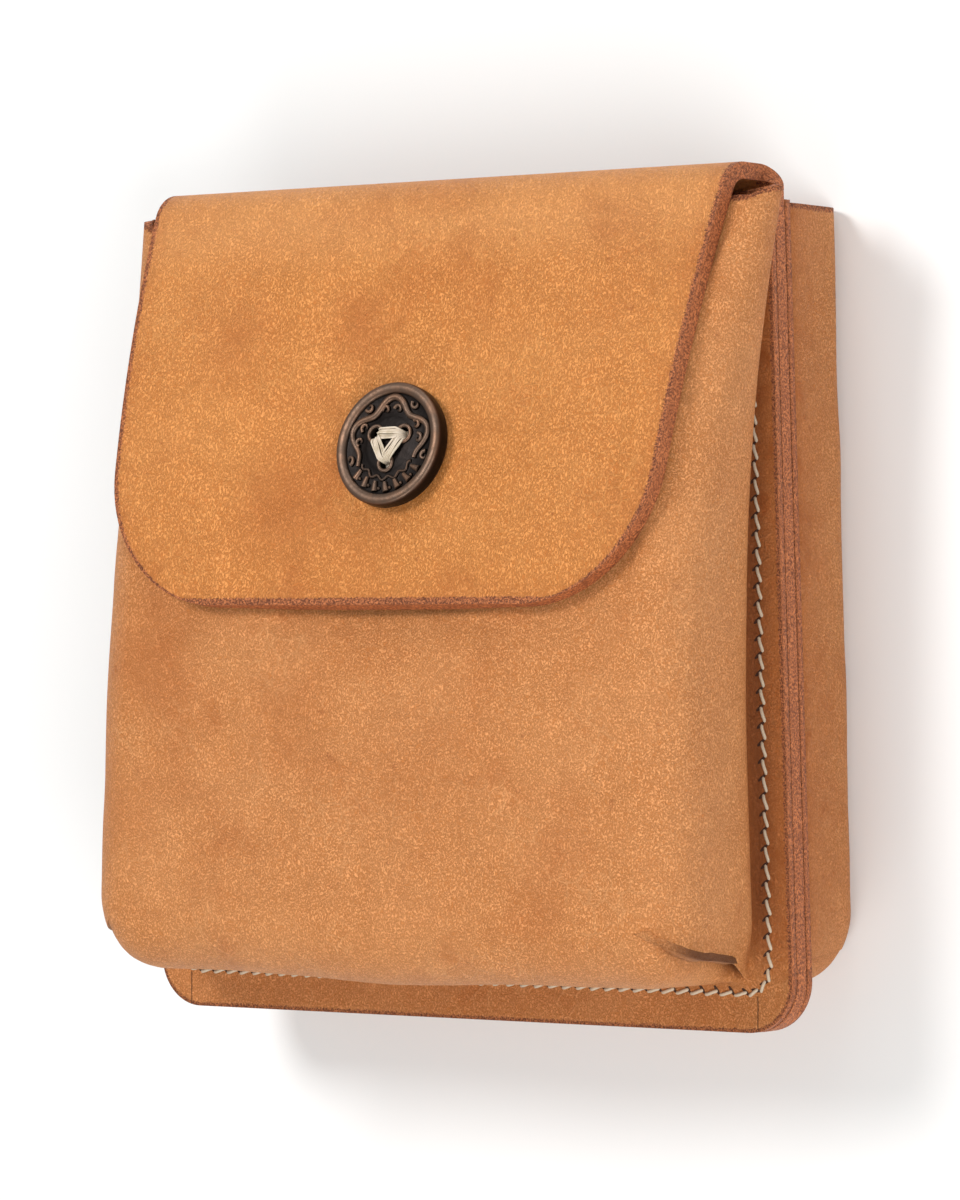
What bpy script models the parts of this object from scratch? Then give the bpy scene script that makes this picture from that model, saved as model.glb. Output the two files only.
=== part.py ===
"""Belt pouch of thick vegetable tanned leather.

A thick centre panel carries one moulded pocket on its front and one on its back.
The panel goes on over the top of the front pocket as a flap, held by a hidden magnet
behind a sewn-on metal button.

The pouch lies on the flat face of its rear pocket. X runs across it, Y runs up the
pouch towards the fold, Z comes out of its front. Below, (x, u, w) are the pouch's own
coordinates: u is the height above the lower edge, w the height above the front face
of the centre panel. All sizes are metres.
"""

from math import atan, cos, exp, pi, sin, sqrt

import bmesh
import bpy
from mathutils import Vector

# Overall
POUCH_HEIGHT = 0.1673
SEAT_GAP = 0.0003

# Centre panel
PANEL_TOP_WIDTH = 0.1452
PANEL_BOTTOM_WIDTH = 0.1560
PANEL_THICKNESS = 0.0032
PANEL_CORNER_RADIUS = 0.0100
EDGE_ROUND = 0.0007

# Both pockets
POCKET_LEATHER = 0.0017
MOUTH_DROP = 0.0067
SIDE_SEAM_MARGIN = 0.0050
BOTTOM_SEAM_MARGIN = 0.0075
SEAM_CORNER_RADIUS = 0.0050
BODY_CORNER_RADIUS = 0.0150
FACE_CORNER_RADIUS = 0.0015
WALL_SET_IN = 0.0020
WALL_LEAN = 0.0012
FOOT_RISE = 0.0011
PLEAT_TURN = 0.40
PLEAT_LIP = 0.0008
PLEAT_TUCK = 0.0010

# Front pocket, a wedge that is thin at its mouth
FRONT_DEPTH = 0.0346
FRONT_MOUTH_DEPTH = 0.0105
FRONT_BELLY_HEIGHT = 0.0450
FRONT_MOUTH_BULGE = 0.0105
FRONT_SIDE_BULGE = 0.0012
FRONT_BOTTOM_SAG = 0.0014
FRONT_EDGE_RADIUS = 0.0120
FRONT_RIDGE_HEIGHT = 0.0140
FRONT_MOUTH_RIDGE = 0.0058

# Rear pocket, nearly a box
REAR_DEPTH = 0.0267
REAR_MOUTH_BULGE = 0.0016
REAR_SIDE_BULGE = 0.0008
REAR_BOTTOM_SAG = 0.0006
REAR_EDGE_RADIUS = 0.0050
REAR_RIDGE_HEIGHT = 0.0100

# Flap
FLAP_THICKNESS = 0.0033
FLAP_TOP_WIDTH = 0.1396
FLAP_BOTTOM_WIDTH = 0.1290
FLAP_LOWER_EDGE = 0.0825
FLAP_CORNER_RADIUS = 0.0270
FLAP_STAND_OFF = 0.0008
FLAP_DISH = 0.0045
FLAP_DISH_RADIUS = 0.0360
FOLD_RUN_IN = 0.0008
FOLD_BACK_RADIUS = 0.0042
FOLD_FRONT_RADIUS = 0.0075

# Button and the cord that holds it
BUTTON_HEIGHT = 0.1132
BUTTON_OFFSET = 0.0015
BUTTON_DIAMETER = 0.0250
BUTTON_THICKNESS = 0.0040
BUTTON_RIM_WIDTH = 0.0022
BUTTON_ROUND = 0.0012
BUTTON_RECESS = 0.0011
BUTTON_HOLE_CIRCLE = 0.0032
BUTTON_HOLE_RADIUS = 0.0012
BUTTON_COLLAR = 0.0011
COLLAR_RISE = 0.0008
BUTTON_LEAVES = 9
LEAF_HEIGHT = 0.0007
LEAF_WIDTH = 0.0022
LEAF_ROOT = 0.0004
LEAF_CURL = 0.55
CORD_DIAMETER = 0.0016
CORD_CLEARANCE = 0.0002

# Magnetic closure
MAGNET_DIAMETER = 0.0140
MAGNET_THICKNESS = 0.0015
MAGNET_ROUND = 0.0003
PATCH_DIAMETER = 0.0240
PATCH_LEATHER = 0.0010
PATCH_SHOULDER = 0.0004
POCKET_DENT_RADIUS = 0.0340

# Stitching
THREAD_WIDTH = 0.0009
THREAD_HEIGHT = 0.0005
STITCH_PITCH = 0.0034
STITCH_SLANT = 0.0002

# Derived
MOUTH_HEIGHT = POUCH_HEIGHT - MOUTH_DROP
SEAM_TOP = MOUTH_HEIGHT - STITCH_PITCH
HINGE_HEIGHT = POUCH_HEIGHT - FOLD_BACK_RADIUS - FOLD_RUN_IN
FLANGE_TOP = SEAT_GAP + POCKET_LEATHER
BACK_FACE = -PANEL_THICKNESS - REAR_DEPTH
SEAT_STACK = CORD_DIAMETER / 2 + MAGNET_THICKNESS + PATCH_LEATHER + 2 * SEAT_GAP
POCKET_DENT = FLAP_DISH + SEAT_STACK + SEAT_GAP - FLAP_STAND_OFF + SEAT_GAP


def clear_scene():
    for obj in list(bpy.data.objects):
        bpy.data.objects.remove(obj, do_unlink=True)


def make_material(name, colour, roughness, metallic=0.0):
    material = bpy.data.materials.new(name)
    material.use_nodes = True
    shader = material.node_tree.nodes["Principled BSDF"]
    shader.inputs["Base Color"].default_value = (*colour, 1.0)
    shader.inputs["Roughness"].default_value = roughness
    shader.inputs["Metallic"].default_value = metallic
    return material


def make_object(name, bm, material, parent, location=(0.0, 0.0, 0.0), tilt=0.0):
    """Turn a bmesh into a named object under its parent."""
    mesh = bpy.data.meshes.new(name)
    bmesh.ops.remove_doubles(bm, verts=bm.verts, dist=1e-6)
    bmesh.ops.recalc_face_normals(bm, faces=bm.faces)
    bm.to_mesh(mesh)
    bm.free()
    if material:
        mesh.materials.append(material)
    obj = bpy.data.objects.new(name, mesh)
    bpy.context.scene.collection.objects.link(obj)
    obj.parent = parent
    obj.location = location
    obj.rotation_euler = (tilt, 0.0, 0.0)
    mesh.shade_smooth()
    mesh.set_sharp_from_angle(angle=0.7)
    return obj


def make_empty(name, parent, location):
    empty = bpy.data.objects.new(name, None)
    bpy.context.scene.collection.objects.link(empty)
    empty.parent = parent
    empty.location = location
    return empty


def mix(a, b, t):
    return a + (b - a) * t


def smooth(t):
    t = min(max(t, 0.0), 1.0)
    return t * t * (3 - 2 * t)


def panel_half_width(u):
    return mix(PANEL_BOTTOM_WIDTH, PANEL_TOP_WIDTH, u / MOUTH_HEIGHT) / 2


def seam_half_width(u):
    return panel_half_width(u) - SIDE_SEAM_MARGIN


def front_slope(u):
    """How far the front pocket has closed towards its mouth, from 0 to 1."""
    return max(0.0, (u - FRONT_BELLY_HEIGHT) / (MOUTH_HEIGHT - FRONT_BELLY_HEIGHT)) ** 2


def front_face(x, u):
    """Height of the front pocket's face, pressed in behind the closure."""
    reach = sqrt((x - BUTTON_OFFSET) ** 2 + (u - BUTTON_HEIGHT) ** 2) / POCKET_DENT_RADIUS
    return mix(FRONT_DEPTH, FRONT_MOUTH_DEPTH, front_slope(u)) - POCKET_DENT * exp(-reach ** 4)


def rear_face(x, u):
    return REAR_DEPTH


def flap_profile(u):
    """Height of the flap's outer face, away from the button."""
    return mix(FRONT_DEPTH, FRONT_MOUTH_DEPTH, front_slope(u)) + FLAP_STAND_OFF + FLAP_THICKNESS


def flap_lean(u):
    """Angle by which the flap leans back at a height."""
    run = MOUTH_HEIGHT - FRONT_BELLY_HEIGHT
    return atan(2 * (FRONT_DEPTH - FRONT_MOUTH_DEPTH) * (u - FRONT_BELLY_HEIGHT) / run ** 2)


def flap_face(x, u):
    """Height of the flap's outer face, drawn in round the button."""
    reach = sqrt((x - BUTTON_OFFSET) ** 2 + (u - BUTTON_HEIGHT) ** 2) / FLAP_DISH_RADIUS
    return flap_profile(u) - FLAP_DISH * exp(-reach ** 4)


def seam_stations(side_steps, bottom_steps):
    """Half of the way round a pocket, from the middle of its bottom to its mouth.

    Each station names the stretch it is on and how far along that stretch it lies.
    """
    turns = [PLEAT_TURN * share for share in (0.0, 0.30, 0.55, 0.75, 0.88)]
    turns += [mix(PLEAT_TURN, 1.0, share) for share in (0.0, 0.20, 0.55, 1.0)]
    stations = [("bottom", i / bottom_steps) for i in range(bottom_steps)]
    stations += [("corner", turn) for turn in turns]
    stations += [("side", i / side_steps) for i in range(1, side_steps + 1)]
    return stations


def around(station, out_side, out_bottom, corner):
    """Point on a rounded outline that lies some distance outside the seam."""
    stretch, t = station
    centre_u = BOTTOM_SEAM_MARGIN - out_bottom + corner
    if stretch == "side":
        u = mix(centre_u, MOUTH_HEIGHT, t)
        return seam_half_width(u) + out_side, u
    centre_x = seam_half_width(centre_u) + out_side - corner
    if stretch == "bottom":
        return centre_x * t, centre_u - corner
    angle = t * pi / 2
    return centre_x + corner * sin(angle), centre_u - corner * cos(angle)


def bezier(p0, p1, p2, p3, t):
    s = 1 - t
    weights = (s ** 3, 3 * s * s * t, 3 * s * t * t, t ** 3)
    return [sum(w * p[k] for w, p in zip(weights, (p0, p1, p2, p3))) for k in (0, 1)]


def front_side(u):
    """Bulge, ridge height, edge radius and depth of the front pocket's side at a height."""
    slope = front_slope(u)
    bulge = mix(FRONT_SIDE_BULGE, FRONT_MOUTH_BULGE, slope)
    ridge = mix(FRONT_RIDGE_HEIGHT, FRONT_MOUTH_RIDGE, slope)
    depth = mix(FRONT_DEPTH, FRONT_MOUTH_DEPTH, slope)
    return bulge, ridge, min(FRONT_EDGE_RADIUS, 0.9 * (depth - ridge)), depth


def front_bottom(t):
    sag = FRONT_BOTTOM_SAG * (1 - t * t)
    return sag, FRONT_RIDGE_HEIGHT, FRONT_EDGE_RADIUS, FRONT_DEPTH


def rear_side(u):
    bulge = mix(REAR_SIDE_BULGE, REAR_MOUTH_BULGE, u / MOUTH_HEIGHT)
    return bulge, REAR_RIDGE_HEIGHT, REAR_EDGE_RADIUS, REAR_DEPTH


def rear_bottom(t):
    return REAR_BOTTOM_SAG * (1 - t * t), REAR_RIDGE_HEIGHT, REAR_EDGE_RADIUS, REAR_DEPTH


def section(margin, bulge, ridge, radius, depth, wall_steps, arc_steps):
    """Leather's outer face across the seam: distance outside it, height and corner radius."""
    foot = (-WALL_SET_IN, FLANGE_TOP + FOOT_RISE)
    lean_in = (foot[0] - WALL_LEAN, mix(foot[1], ridge, 0.45))
    swell = (bulge, foot[1] + 0.1 * (ridge - foot[1]))
    levels = [(margin, FLANGE_TOP, PANEL_CORNER_RADIUS), (0.0, FLANGE_TOP, SEAM_CORNER_RADIUS)]
    levels.append((-0.7 * WALL_SET_IN, FLANGE_TOP, SEAM_CORNER_RADIUS))
    for i in range(wall_steps + 1):
        out, w = bezier(foot, lean_in, swell, (bulge, ridge), i / wall_steps)
        levels.append((out, w, mix(SEAM_CORNER_RADIUS, BODY_CORNER_RADIUS, smooth(i / wall_steps))))
    for i in range(arc_steps + 1):
        angle = pi / 2 * i / arc_steps
        inward = radius * (1 - cos(angle))
        corner = max(BODY_CORNER_RADIUS - inward, FACE_CORNER_RADIUS)
        levels.append((bulge - inward, depth - radius * (1 - sin(angle)), corner))
    return levels


def pleat(turn, rise):
    """How far the leather stands out where its corner is folded over, and in under the fold."""
    away = turn - PLEAT_TURN
    fade = smooth(rise * 6) * smooth((1 - rise) * 3)
    if away >= 0:
        return PLEAT_LIP * exp(-(away / 0.18) ** 2) * fade
    swell = PLEAT_LIP * exp(-((away + 0.20) / 0.10) ** 2)
    return (swell - PLEAT_TUCK * exp(-(away / 0.08) ** 2)) * fade


def pocket_sheet(side, bottom, face, side_steps, bottom_steps, wall_steps, arc_steps):
    """Outer face of a moulded pocket: lines of points across its seam, and a grid for its face."""
    at_corner = section(BOTTOM_SEAM_MARGIN, *bottom(1.0), wall_steps, arc_steps)
    low_side = section(SIDE_SEAM_MARGIN, *side(BODY_CORNER_RADIUS), wall_steps, arc_steps)
    right = []
    for station in seam_stations(side_steps, bottom_steps):
        stretch, t = station
        lower, upper = at_corner, low_side
        if stretch == "bottom":
            lower = section(BOTTOM_SEAM_MARGIN, *bottom(t), wall_steps, arc_steps)
        if stretch == "side":
            height = mix(BODY_CORNER_RADIUS, MOUTH_HEIGHT, t)
            upper = section(SIDE_SEAM_MARGIN, *side(height), wall_steps, arc_steps)
        share = {"bottom": 0.0, "corner": smooth(t), "side": 1.0}[stretch]
        line = []
        top = mix(lower[-1][1], upper[-1][1], share)
        for (out_b, w_b, corner_b), (out_s, w_s, corner_s) in zip(lower, upper):
            w = mix(w_b, w_s, share)
            fold = pleat(t, (w - FLANGE_TOP) / (top - FLANGE_TOP)) if stretch == "corner" else 0.0
            x, u = around(station, out_s + fold, out_b + fold, mix(corner_b, corner_s, share))
            line.append(Vector((x, u, w)))
        line[-1].z = face(line[-1].x, line[-1].y)
        right.append(line)
    left = [[Vector((-p.x, p.y, p.z)) for p in line] for line in right[:0:-1]]
    rows = left + right
    return rows, face_grid([line[-1] for line in rows], side_steps + 3, face)


def face_grid(rim, side, face):
    """Grid of points across the pocket's face, spanned by its rim."""
    last = len(rim) - 1
    columns = last - 2 * side
    grid = []
    for r in range(side + 1):
        line = []
        for c in range(columns + 1):
            s = c / columns
            t = r / side
            level = rim[r].lerp(rim[last - r], s)
            upright = rim[0].lerp(rim[last], s).lerp(rim[side + c], t)
            corner = rim[0].lerp(rim[last], s).lerp(rim[side].lerp(rim[last - side], s), t)
            point = level + upright - corner
            line.append(Vector((point.x, point.y, face(point.x, point.y))))
        grid.append(line)
    return grid


def quads(bm, rows):
    for lower, upper in zip(rows, rows[1:]):
        for a, b, c, d in zip(lower, lower[1:], upper[1:], upper):
            if len({a, b, c, d}) == 4:
                bm.faces.new((a, b, c, d))


def moulded_pocket(name, side, bottom, face, material, parent, location, facing):
    """One moulded leather pocket with its flange; facing is 1 to the front, -1 to the back."""
    rows, grid = pocket_sheet(side, bottom, face, side_steps=10, bottom_steps=4, wall_steps=5, arc_steps=5)
    bm = bmesh.new()
    for lines in (rows, grid):
        quads(bm, [[bm.verts.new((p.x, p.y, p.z * facing)) for p in line] for line in lines])
    obj = make_object(name, bm, material, parent, location)
    leather = obj.modifiers.new("leather", "SOLIDIFY")
    leather.thickness = POCKET_LEATHER
    leather.offset = -1.0
    leather.use_even_offset = False
    return obj


def panel_outline():
    """Centre panel's outline, from its upper left corner round the bottom."""
    outline = [(-panel_half_width(HINGE_HEIGHT), HINGE_HEIGHT - SEAT_GAP)]
    centre_x = panel_half_width(0.0) - PANEL_CORNER_RADIUS
    for side, start in ((-1, pi), (1, 1.5 * pi)):
        for i in range(7):
            angle = start + pi / 2 * i / 6
            x = side * centre_x + PANEL_CORNER_RADIUS * cos(angle)
            outline.append((x, PANEL_CORNER_RADIUS + PANEL_CORNER_RADIUS * sin(angle)))
    outline.append((panel_half_width(HINGE_HEIGHT), HINGE_HEIGHT - SEAT_GAP))
    return outline


def centre_panel(material, parent):
    bm = bmesh.new()
    sheet = bm.faces.new([bm.verts.new((x, u, -PANEL_THICKNESS)) for x, u in panel_outline()])
    raised = bmesh.ops.extrude_face_region(bm, geom=[sheet])
    lifted = [v for v in raised["geom"] if isinstance(v, bmesh.types.BMVert)]
    bmesh.ops.translate(bm, verts=lifted, vec=(0.0, 0.0, PANEL_THICKNESS))
    obj = make_object("centre_panel", bm, material, parent)
    burnish(obj)
    return obj


def burnish(obj):
    """Round the cut edges of a thick piece of leather."""
    edge = obj.modifiers.new("burnished_edge", "BEVEL")
    edge.width = EDGE_ROUND
    edge.segments = 2
    edge.limit_method = "ANGLE"
    edge.angle_limit = 1.0
    edge.use_clamp_overlap = True


def flap_half_width(u):
    """Half the flap's width, rounded off at its lower corners."""
    reach = (u - FLAP_LOWER_EDGE) / (MOUTH_HEIGHT - FLAP_LOWER_EDGE)
    half = mix(FLAP_BOTTOM_WIDTH, FLAP_TOP_WIDTH, reach) / 2
    drop = FLAP_LOWER_EDGE + FLAP_CORNER_RADIUS - u
    if drop > 0:
        half -= FLAP_CORNER_RADIUS - sqrt(max(0.0, FLAP_CORNER_RADIUS ** 2 - drop ** 2))
    return half


def flap_lines(columns):
    """Outer face of the flap, line by line from the hinge over the fold to its lower edge."""
    lines = []
    start_half = panel_half_width(HINGE_HEIGHT)
    top_half = flap_half_width(HINGE_HEIGHT)
    spans = [2 * c / columns - 1 for c in range(columns + 1)]
    back_centre = FOLD_BACK_RADIUS - PANEL_THICKNESS
    lines.append([Vector((start_half * s, HINGE_HEIGHT, -PANEL_THICKNESS)) for s in spans])
    for i in range(6):
        angle = pi - pi / 2 * i / 5
        half = mix(start_half, top_half, smooth(i / 5))
        u = HINGE_HEIGHT + FOLD_RUN_IN + FOLD_BACK_RADIUS * sin(angle)
        w = back_centre + FOLD_BACK_RADIUS * cos(angle)
        lines.append([Vector((half * s, u, w)) for s in spans])
    lean = flap_lean(MOUTH_HEIGHT)
    end_u = POUCH_HEIGHT - FOLD_FRONT_RADIUS * (1 - sin(lean))
    centre_w = flap_profile(end_u) - FOLD_FRONT_RADIUS * cos(lean)
    for i in range(7):
        angle = mix(pi / 2, lean, i / 6)
        u = POUCH_HEIGHT - FOLD_FRONT_RADIUS * (1 - sin(angle))
        w = centre_w + FOLD_FRONT_RADIUS * cos(angle)
        lines.append([Vector((top_half * s, u, w)) for s in spans])
    run_steps = 11
    corner_top = FLAP_LOWER_EDGE + FLAP_CORNER_RADIUS
    heights = [mix(end_u, corner_top, i / run_steps) for i in range(1, run_steps + 1)]
    heights += [corner_top - FLAP_CORNER_RADIUS * sin(pi / 2 * i / 7) for i in range(1, 8)]
    for u in heights:
        half = flap_half_width(u)
        lines.append([Vector((half * s, u, flap_face(half * s, u))) for s in spans])
    return lines


def flap(material, hinge, pivot, holes):
    bm = bmesh.new()
    quads(bm, [[bm.verts.new(p - pivot) for p in line] for line in flap_lines(12)])
    obj = make_object("flap", bm, material, hinge)
    leather = obj.modifiers.new("leather", "SOLIDIFY")
    leather.thickness = FLAP_THICKNESS
    leather.offset = -1.0
    leather.use_even_offset = True
    burnish(obj)
    for cutter in holes:
        punch = obj.modifiers.new("cord_hole", "BOOLEAN")
        punch.object = cutter
        punch.operation = "DIFFERENCE"
        punch.solver = "EXACT"
    return obj


def turned(profile, steps):
    """Solid of revolution about Z from (radius, height) points that start and end on the axis."""
    bm = bmesh.new()
    rings = []
    for radius, height in profile:
        if radius == 0:
            rings.append([bm.verts.new((0.0, 0.0, height))] * steps)
            continue
        angles = [2 * pi * i / steps for i in range(steps)]
        rings.append([bm.verts.new((radius * cos(a), radius * sin(a), height)) for a in angles])
    for lower, upper in zip(rings, rings[1:]):
        for i in range(steps):
            j = (i + 1) % steps
            corners = list(dict.fromkeys((lower[i], lower[j], upper[j], upper[i])))
            bm.faces.new(corners)
    return bm


def hole_centres():
    """The three cord holes, two above and one below."""
    angles = [pi / 2 + pi / 3 + 2 * pi * i / 3 for i in range(3)]
    return [(BUTTON_HOLE_CIRCLE * cos(a), BUTTON_HOLE_CIRCLE * sin(a)) for a in angles]


def hole_cutters(parent, location, tilt, top, bottom, radius, name):
    """Wire cylinders that bore the three cord holes."""
    cutters = []
    for number, (x, y) in enumerate(hole_centres(), 1):
        bm = turned([(0.0, bottom), (radius, bottom), (radius, top), (0.0, top)], 14)
        bmesh.ops.translate(bm, verts=bm.verts, vec=(x, y, 0.0))
        cutter = make_object(f"{name}_{number}", bm, None, parent, location, tilt)
        cutter.hide_render = True
        cutter.display_type = "WIRE"
        cutters.append(cutter)
    return cutters


def button_leaf(bm, angle):
    """One raised leaf between the collar and the rim, curled to one side."""
    inner = BUTTON_HOLE_CIRCLE + BUTTON_HOLE_RADIUS + BUTTON_COLLAR + SEAT_GAP
    outer = BUTTON_DIAMETER / 2 - BUTTON_RIM_WIDTH - SEAT_GAP
    floor = BUTTON_THICKNESS - BUTTON_RECESS
    steps = 5
    left, ridge, right = [], [], []
    for i in range(steps + 1):
        t = i / steps
        radius = mix(inner, outer, t)
        bend = angle + LEAF_CURL * t * t
        half = LEAF_WIDTH / 2 * (0.1 + sin(pi * t) ** 0.8)
        along = Vector((cos(bend), sin(bend), 0.0))
        across = Vector((-sin(bend), cos(bend), 0.0))
        middle = along * radius
        left.append(bm.verts.new(middle + across * half + Vector((0, 0, floor - LEAF_ROOT))))
        right.append(bm.verts.new(middle - across * half + Vector((0, 0, floor - LEAF_ROOT))))
        rise = LEAF_HEIGHT * (0.35 + sin(pi * t))
        ridge.append(bm.verts.new(middle + Vector((0, 0, floor + rise))))
    quads(bm, [left, ridge, right])
    for lower, upper in zip(range(steps), range(1, steps + 1)):
        bm.faces.new((left[lower], left[upper], right[upper], right[lower]))
    bm.faces.new((left[0], right[0], ridge[0]))
    bm.faces.new((left[-1], ridge[-1], right[-1]))


def button(material, hinge, location, tilt, holes):
    """Cast button: a rounded rim, a sunk ring of leaves and a raised collar at the holes."""
    edge = BUTTON_DIAMETER / 2
    floor = BUTTON_THICKNESS - BUTTON_RECESS
    collar = BUTTON_HOLE_CIRCLE + BUTTON_HOLE_RADIUS + BUTTON_COLLAR
    crown = BUTTON_THICKNESS - BUTTON_ROUND / 4
    profile = [(0.0, 0.0), (edge - BUTTON_ROUND, 0.0), (edge, BUTTON_ROUND)]
    profile += [(edge, BUTTON_THICKNESS - BUTTON_ROUND), (edge - BUTTON_ROUND * 0.4, crown)]
    profile += [(edge - BUTTON_ROUND, BUTTON_THICKNESS), (edge - BUTTON_RIM_WIDTH * 0.86, crown)]
    profile += [(edge - BUTTON_RIM_WIDTH, floor), (collar, floor)]
    profile += [(collar - COLLAR_RISE / 2, floor + COLLAR_RISE * 0.9), (0.0, floor + COLLAR_RISE)]
    obj = make_object("button", turned(profile, 40), material, hinge, location, tilt)
    relief = bmesh.new()
    for number in range(BUTTON_LEAVES):
        button_leaf(relief, 2 * pi * number / BUTTON_LEAVES)
    leaves = make_object("button_leaves", relief, material, hinge, location, tilt)
    leaves.hide_render = True
    leaves.display_type = "WIRE"
    join = obj.modifiers.new("leaves", "BOOLEAN")
    join.object = leaves
    join.operation = "UNION"
    join.solver = "EXACT"
    for cutter in holes:
        bore = obj.modifiers.new("cord_hole", "BOOLEAN")
        bore.object = cutter
        bore.operation = "DIFFERENCE"
        bore.solver = "EXACT"
    return obj


def swept_loop(path, radius_across, radius_up, sides):
    """Closed loop of flattened round section through a list of points in one plane."""
    bm = bmesh.new()
    count = len(path)
    rings = []
    for i, point in enumerate(path):
        along = (path[(i + 1) % count] - path[i - 1]).normalized()
        across = Vector((along.y, -along.x, 0.0))
        ring = []
        for k in range(sides):
            angle = 2 * pi * k / sides
            offset = across * radius_across * cos(angle)
            ring.append(bm.verts.new(point + offset + Vector((0, 0, radius_up * sin(angle)))))
        rings.append(ring + ring[:1])
    quads(bm, rings + rings[:1])
    return bm


def cord_triangle(height):
    """Loop of cord that goes round the three holes at one height."""
    path = []
    for number, (x, y) in enumerate(hole_centres()):
        heading = pi / 2 + pi / 3 + 2 * pi * number / 3
        for step in (-1, 0, 1):
            angle = heading + step * pi / 3
            bend = CORD_DIAMETER * 0.55
            path.append(Vector((x + bend * cos(angle), y + bend * sin(angle), height)))
    return swept_loop(path, CORD_DIAMETER * 0.45, CORD_DIAMETER / 4, 8)


def union(obj, other):
    other.hide_render = True
    other.display_type = "WIRE"
    join = obj.modifiers.new(other.name, "BOOLEAN")
    join.object = other
    join.operation = "UNION"
    join.solver = "EXACT"


def button_cord(material, hinge, location, tilt):
    """Cord laced through the button and the flap: a triangle on each side and three legs."""
    top = BUTTON_THICKNESS + CORD_DIAMETER / 4 + SEAT_GAP
    bottom = -SEAT_GAP - FLAP_THICKNESS - CORD_DIAMETER / 4 - SEAT_GAP
    loop = make_object("button_cord", cord_triangle(top), material, hinge, location, tilt)
    back = make_object("cord_back", cord_triangle(bottom), material, hinge, location, tilt)
    union(loop, back)
    for number, (x, y) in enumerate(hole_centres(), 1):
        low = bottom - CORD_DIAMETER / 16
        high = top + CORD_DIAMETER / 16
        leg = turned([(0.0, low), (CORD_DIAMETER / 2, low), (CORD_DIAMETER / 2, high), (0.0, high)], 9)
        bmesh.ops.translate(leg, verts=leg.verts, vec=(x, y, 0.0))
        union(loop, make_object(f"cord_leg_{number}", leg, material, hinge, location, tilt))
    return loop


def magnet(name, material, parent, location, tilt, top):
    """Flat disc magnet with its upper face at a height on the closure's own axis."""
    radius = MAGNET_DIAMETER / 2
    low = top - MAGNET_THICKNESS
    profile = [(0.0, low), (radius - MAGNET_ROUND, low), (radius, low + MAGNET_ROUND)]
    profile += [(radius, top - MAGNET_ROUND), (radius - MAGNET_ROUND, top), (0.0, top)]
    return make_object(name, turned(profile, 24), material, parent, location, tilt)


def magnet_patch(name, material, parent, location, tilt, seat):
    """Round leather patch, wet formed over the magnet, with its rim seated at a height."""
    rim = PATCH_DIAMETER / 2
    room = MAGNET_DIAMETER / 2 + SEAT_GAP
    hollow = seat - SEAT_STACK + PATCH_LEATHER + SEAT_GAP
    outer = room + PATCH_LEATHER
    profile = [(0.0, hollow), (room, hollow), (room + PATCH_SHOULDER, seat), (rim, seat)]
    profile += [(rim, seat - PATCH_LEATHER), (outer + PATCH_SHOULDER, seat - PATCH_LEATHER)]
    profile += [(outer, hollow - PATCH_LEATHER + PATCH_SHOULDER)]
    profile += [(outer - PATCH_SHOULDER, hollow - PATCH_LEATHER), (0.0, hollow - PATCH_LEATHER)]
    return make_object(name, turned(profile, 24), material, parent, location, tilt)


def seam_half(top):
    """Points a stitch apart along the seam, from the middle of the bottom up to the right side."""
    radius = SEAM_CORNER_RADIUS
    centre_u = BOTTOM_SEAM_MARGIN + radius
    centre_x = seam_half_width(centre_u) - radius
    flat = round(centre_x / STITCH_PITCH)
    rise = round((top - centre_u) / STITCH_PITCH)
    points = [(centre_x * i / flat, BOTTOM_SEAM_MARGIN) for i in range(flat + 1)]
    for angle in (pi / 6, pi / 3):
        points.append((centre_x + radius * sin(angle), centre_u - radius * cos(angle)))
    for i in range(rise + 1):
        u = mix(centre_u, top, i / rise)
        points.append((seam_half_width(u), u))
    return points


def stitching(name, material, parent, location, facing):
    """Thread laid along the seam on one side, each stitch set at a slant."""
    half = seam_half(SEAM_TOP)
    path = [Vector((-x, u, 0.0)) for x, u in half[:0:-1]] + [Vector((x, u, 0.0)) for x, u in half]
    height = FLANGE_TOP + SEAT_GAP + THREAD_HEIGHT / 2
    bm = bmesh.new()
    rings = []
    for i, point in enumerate(path):
        along = (path[min(i + 1, len(path) - 1)] - path[max(i - 1, 0)]).normalized()
        across = Vector((along.y, -along.x, 0.0))
        middle = point + across * STITCH_SLANT * (1 if i % 2 else -1)
        ring = []
        for side, rise in ((1, -1), (0.6, 1), (-0.6, 1), (-1, -1)):
            offset = across * side * THREAD_WIDTH / 2
            ring.append(bm.verts.new(middle + offset + Vector((0, 0, height + rise * THREAD_HEIGHT / 2))))
        rings.append(ring + ring[:1])
    quads(bm, rings)
    bm.faces.new(rings[0][:4])
    bm.faces.new(rings[-1][:4])
    for vert in bm.verts:
        vert.co.z *= facing
    return make_object(name, bm, material, parent, location)


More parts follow.
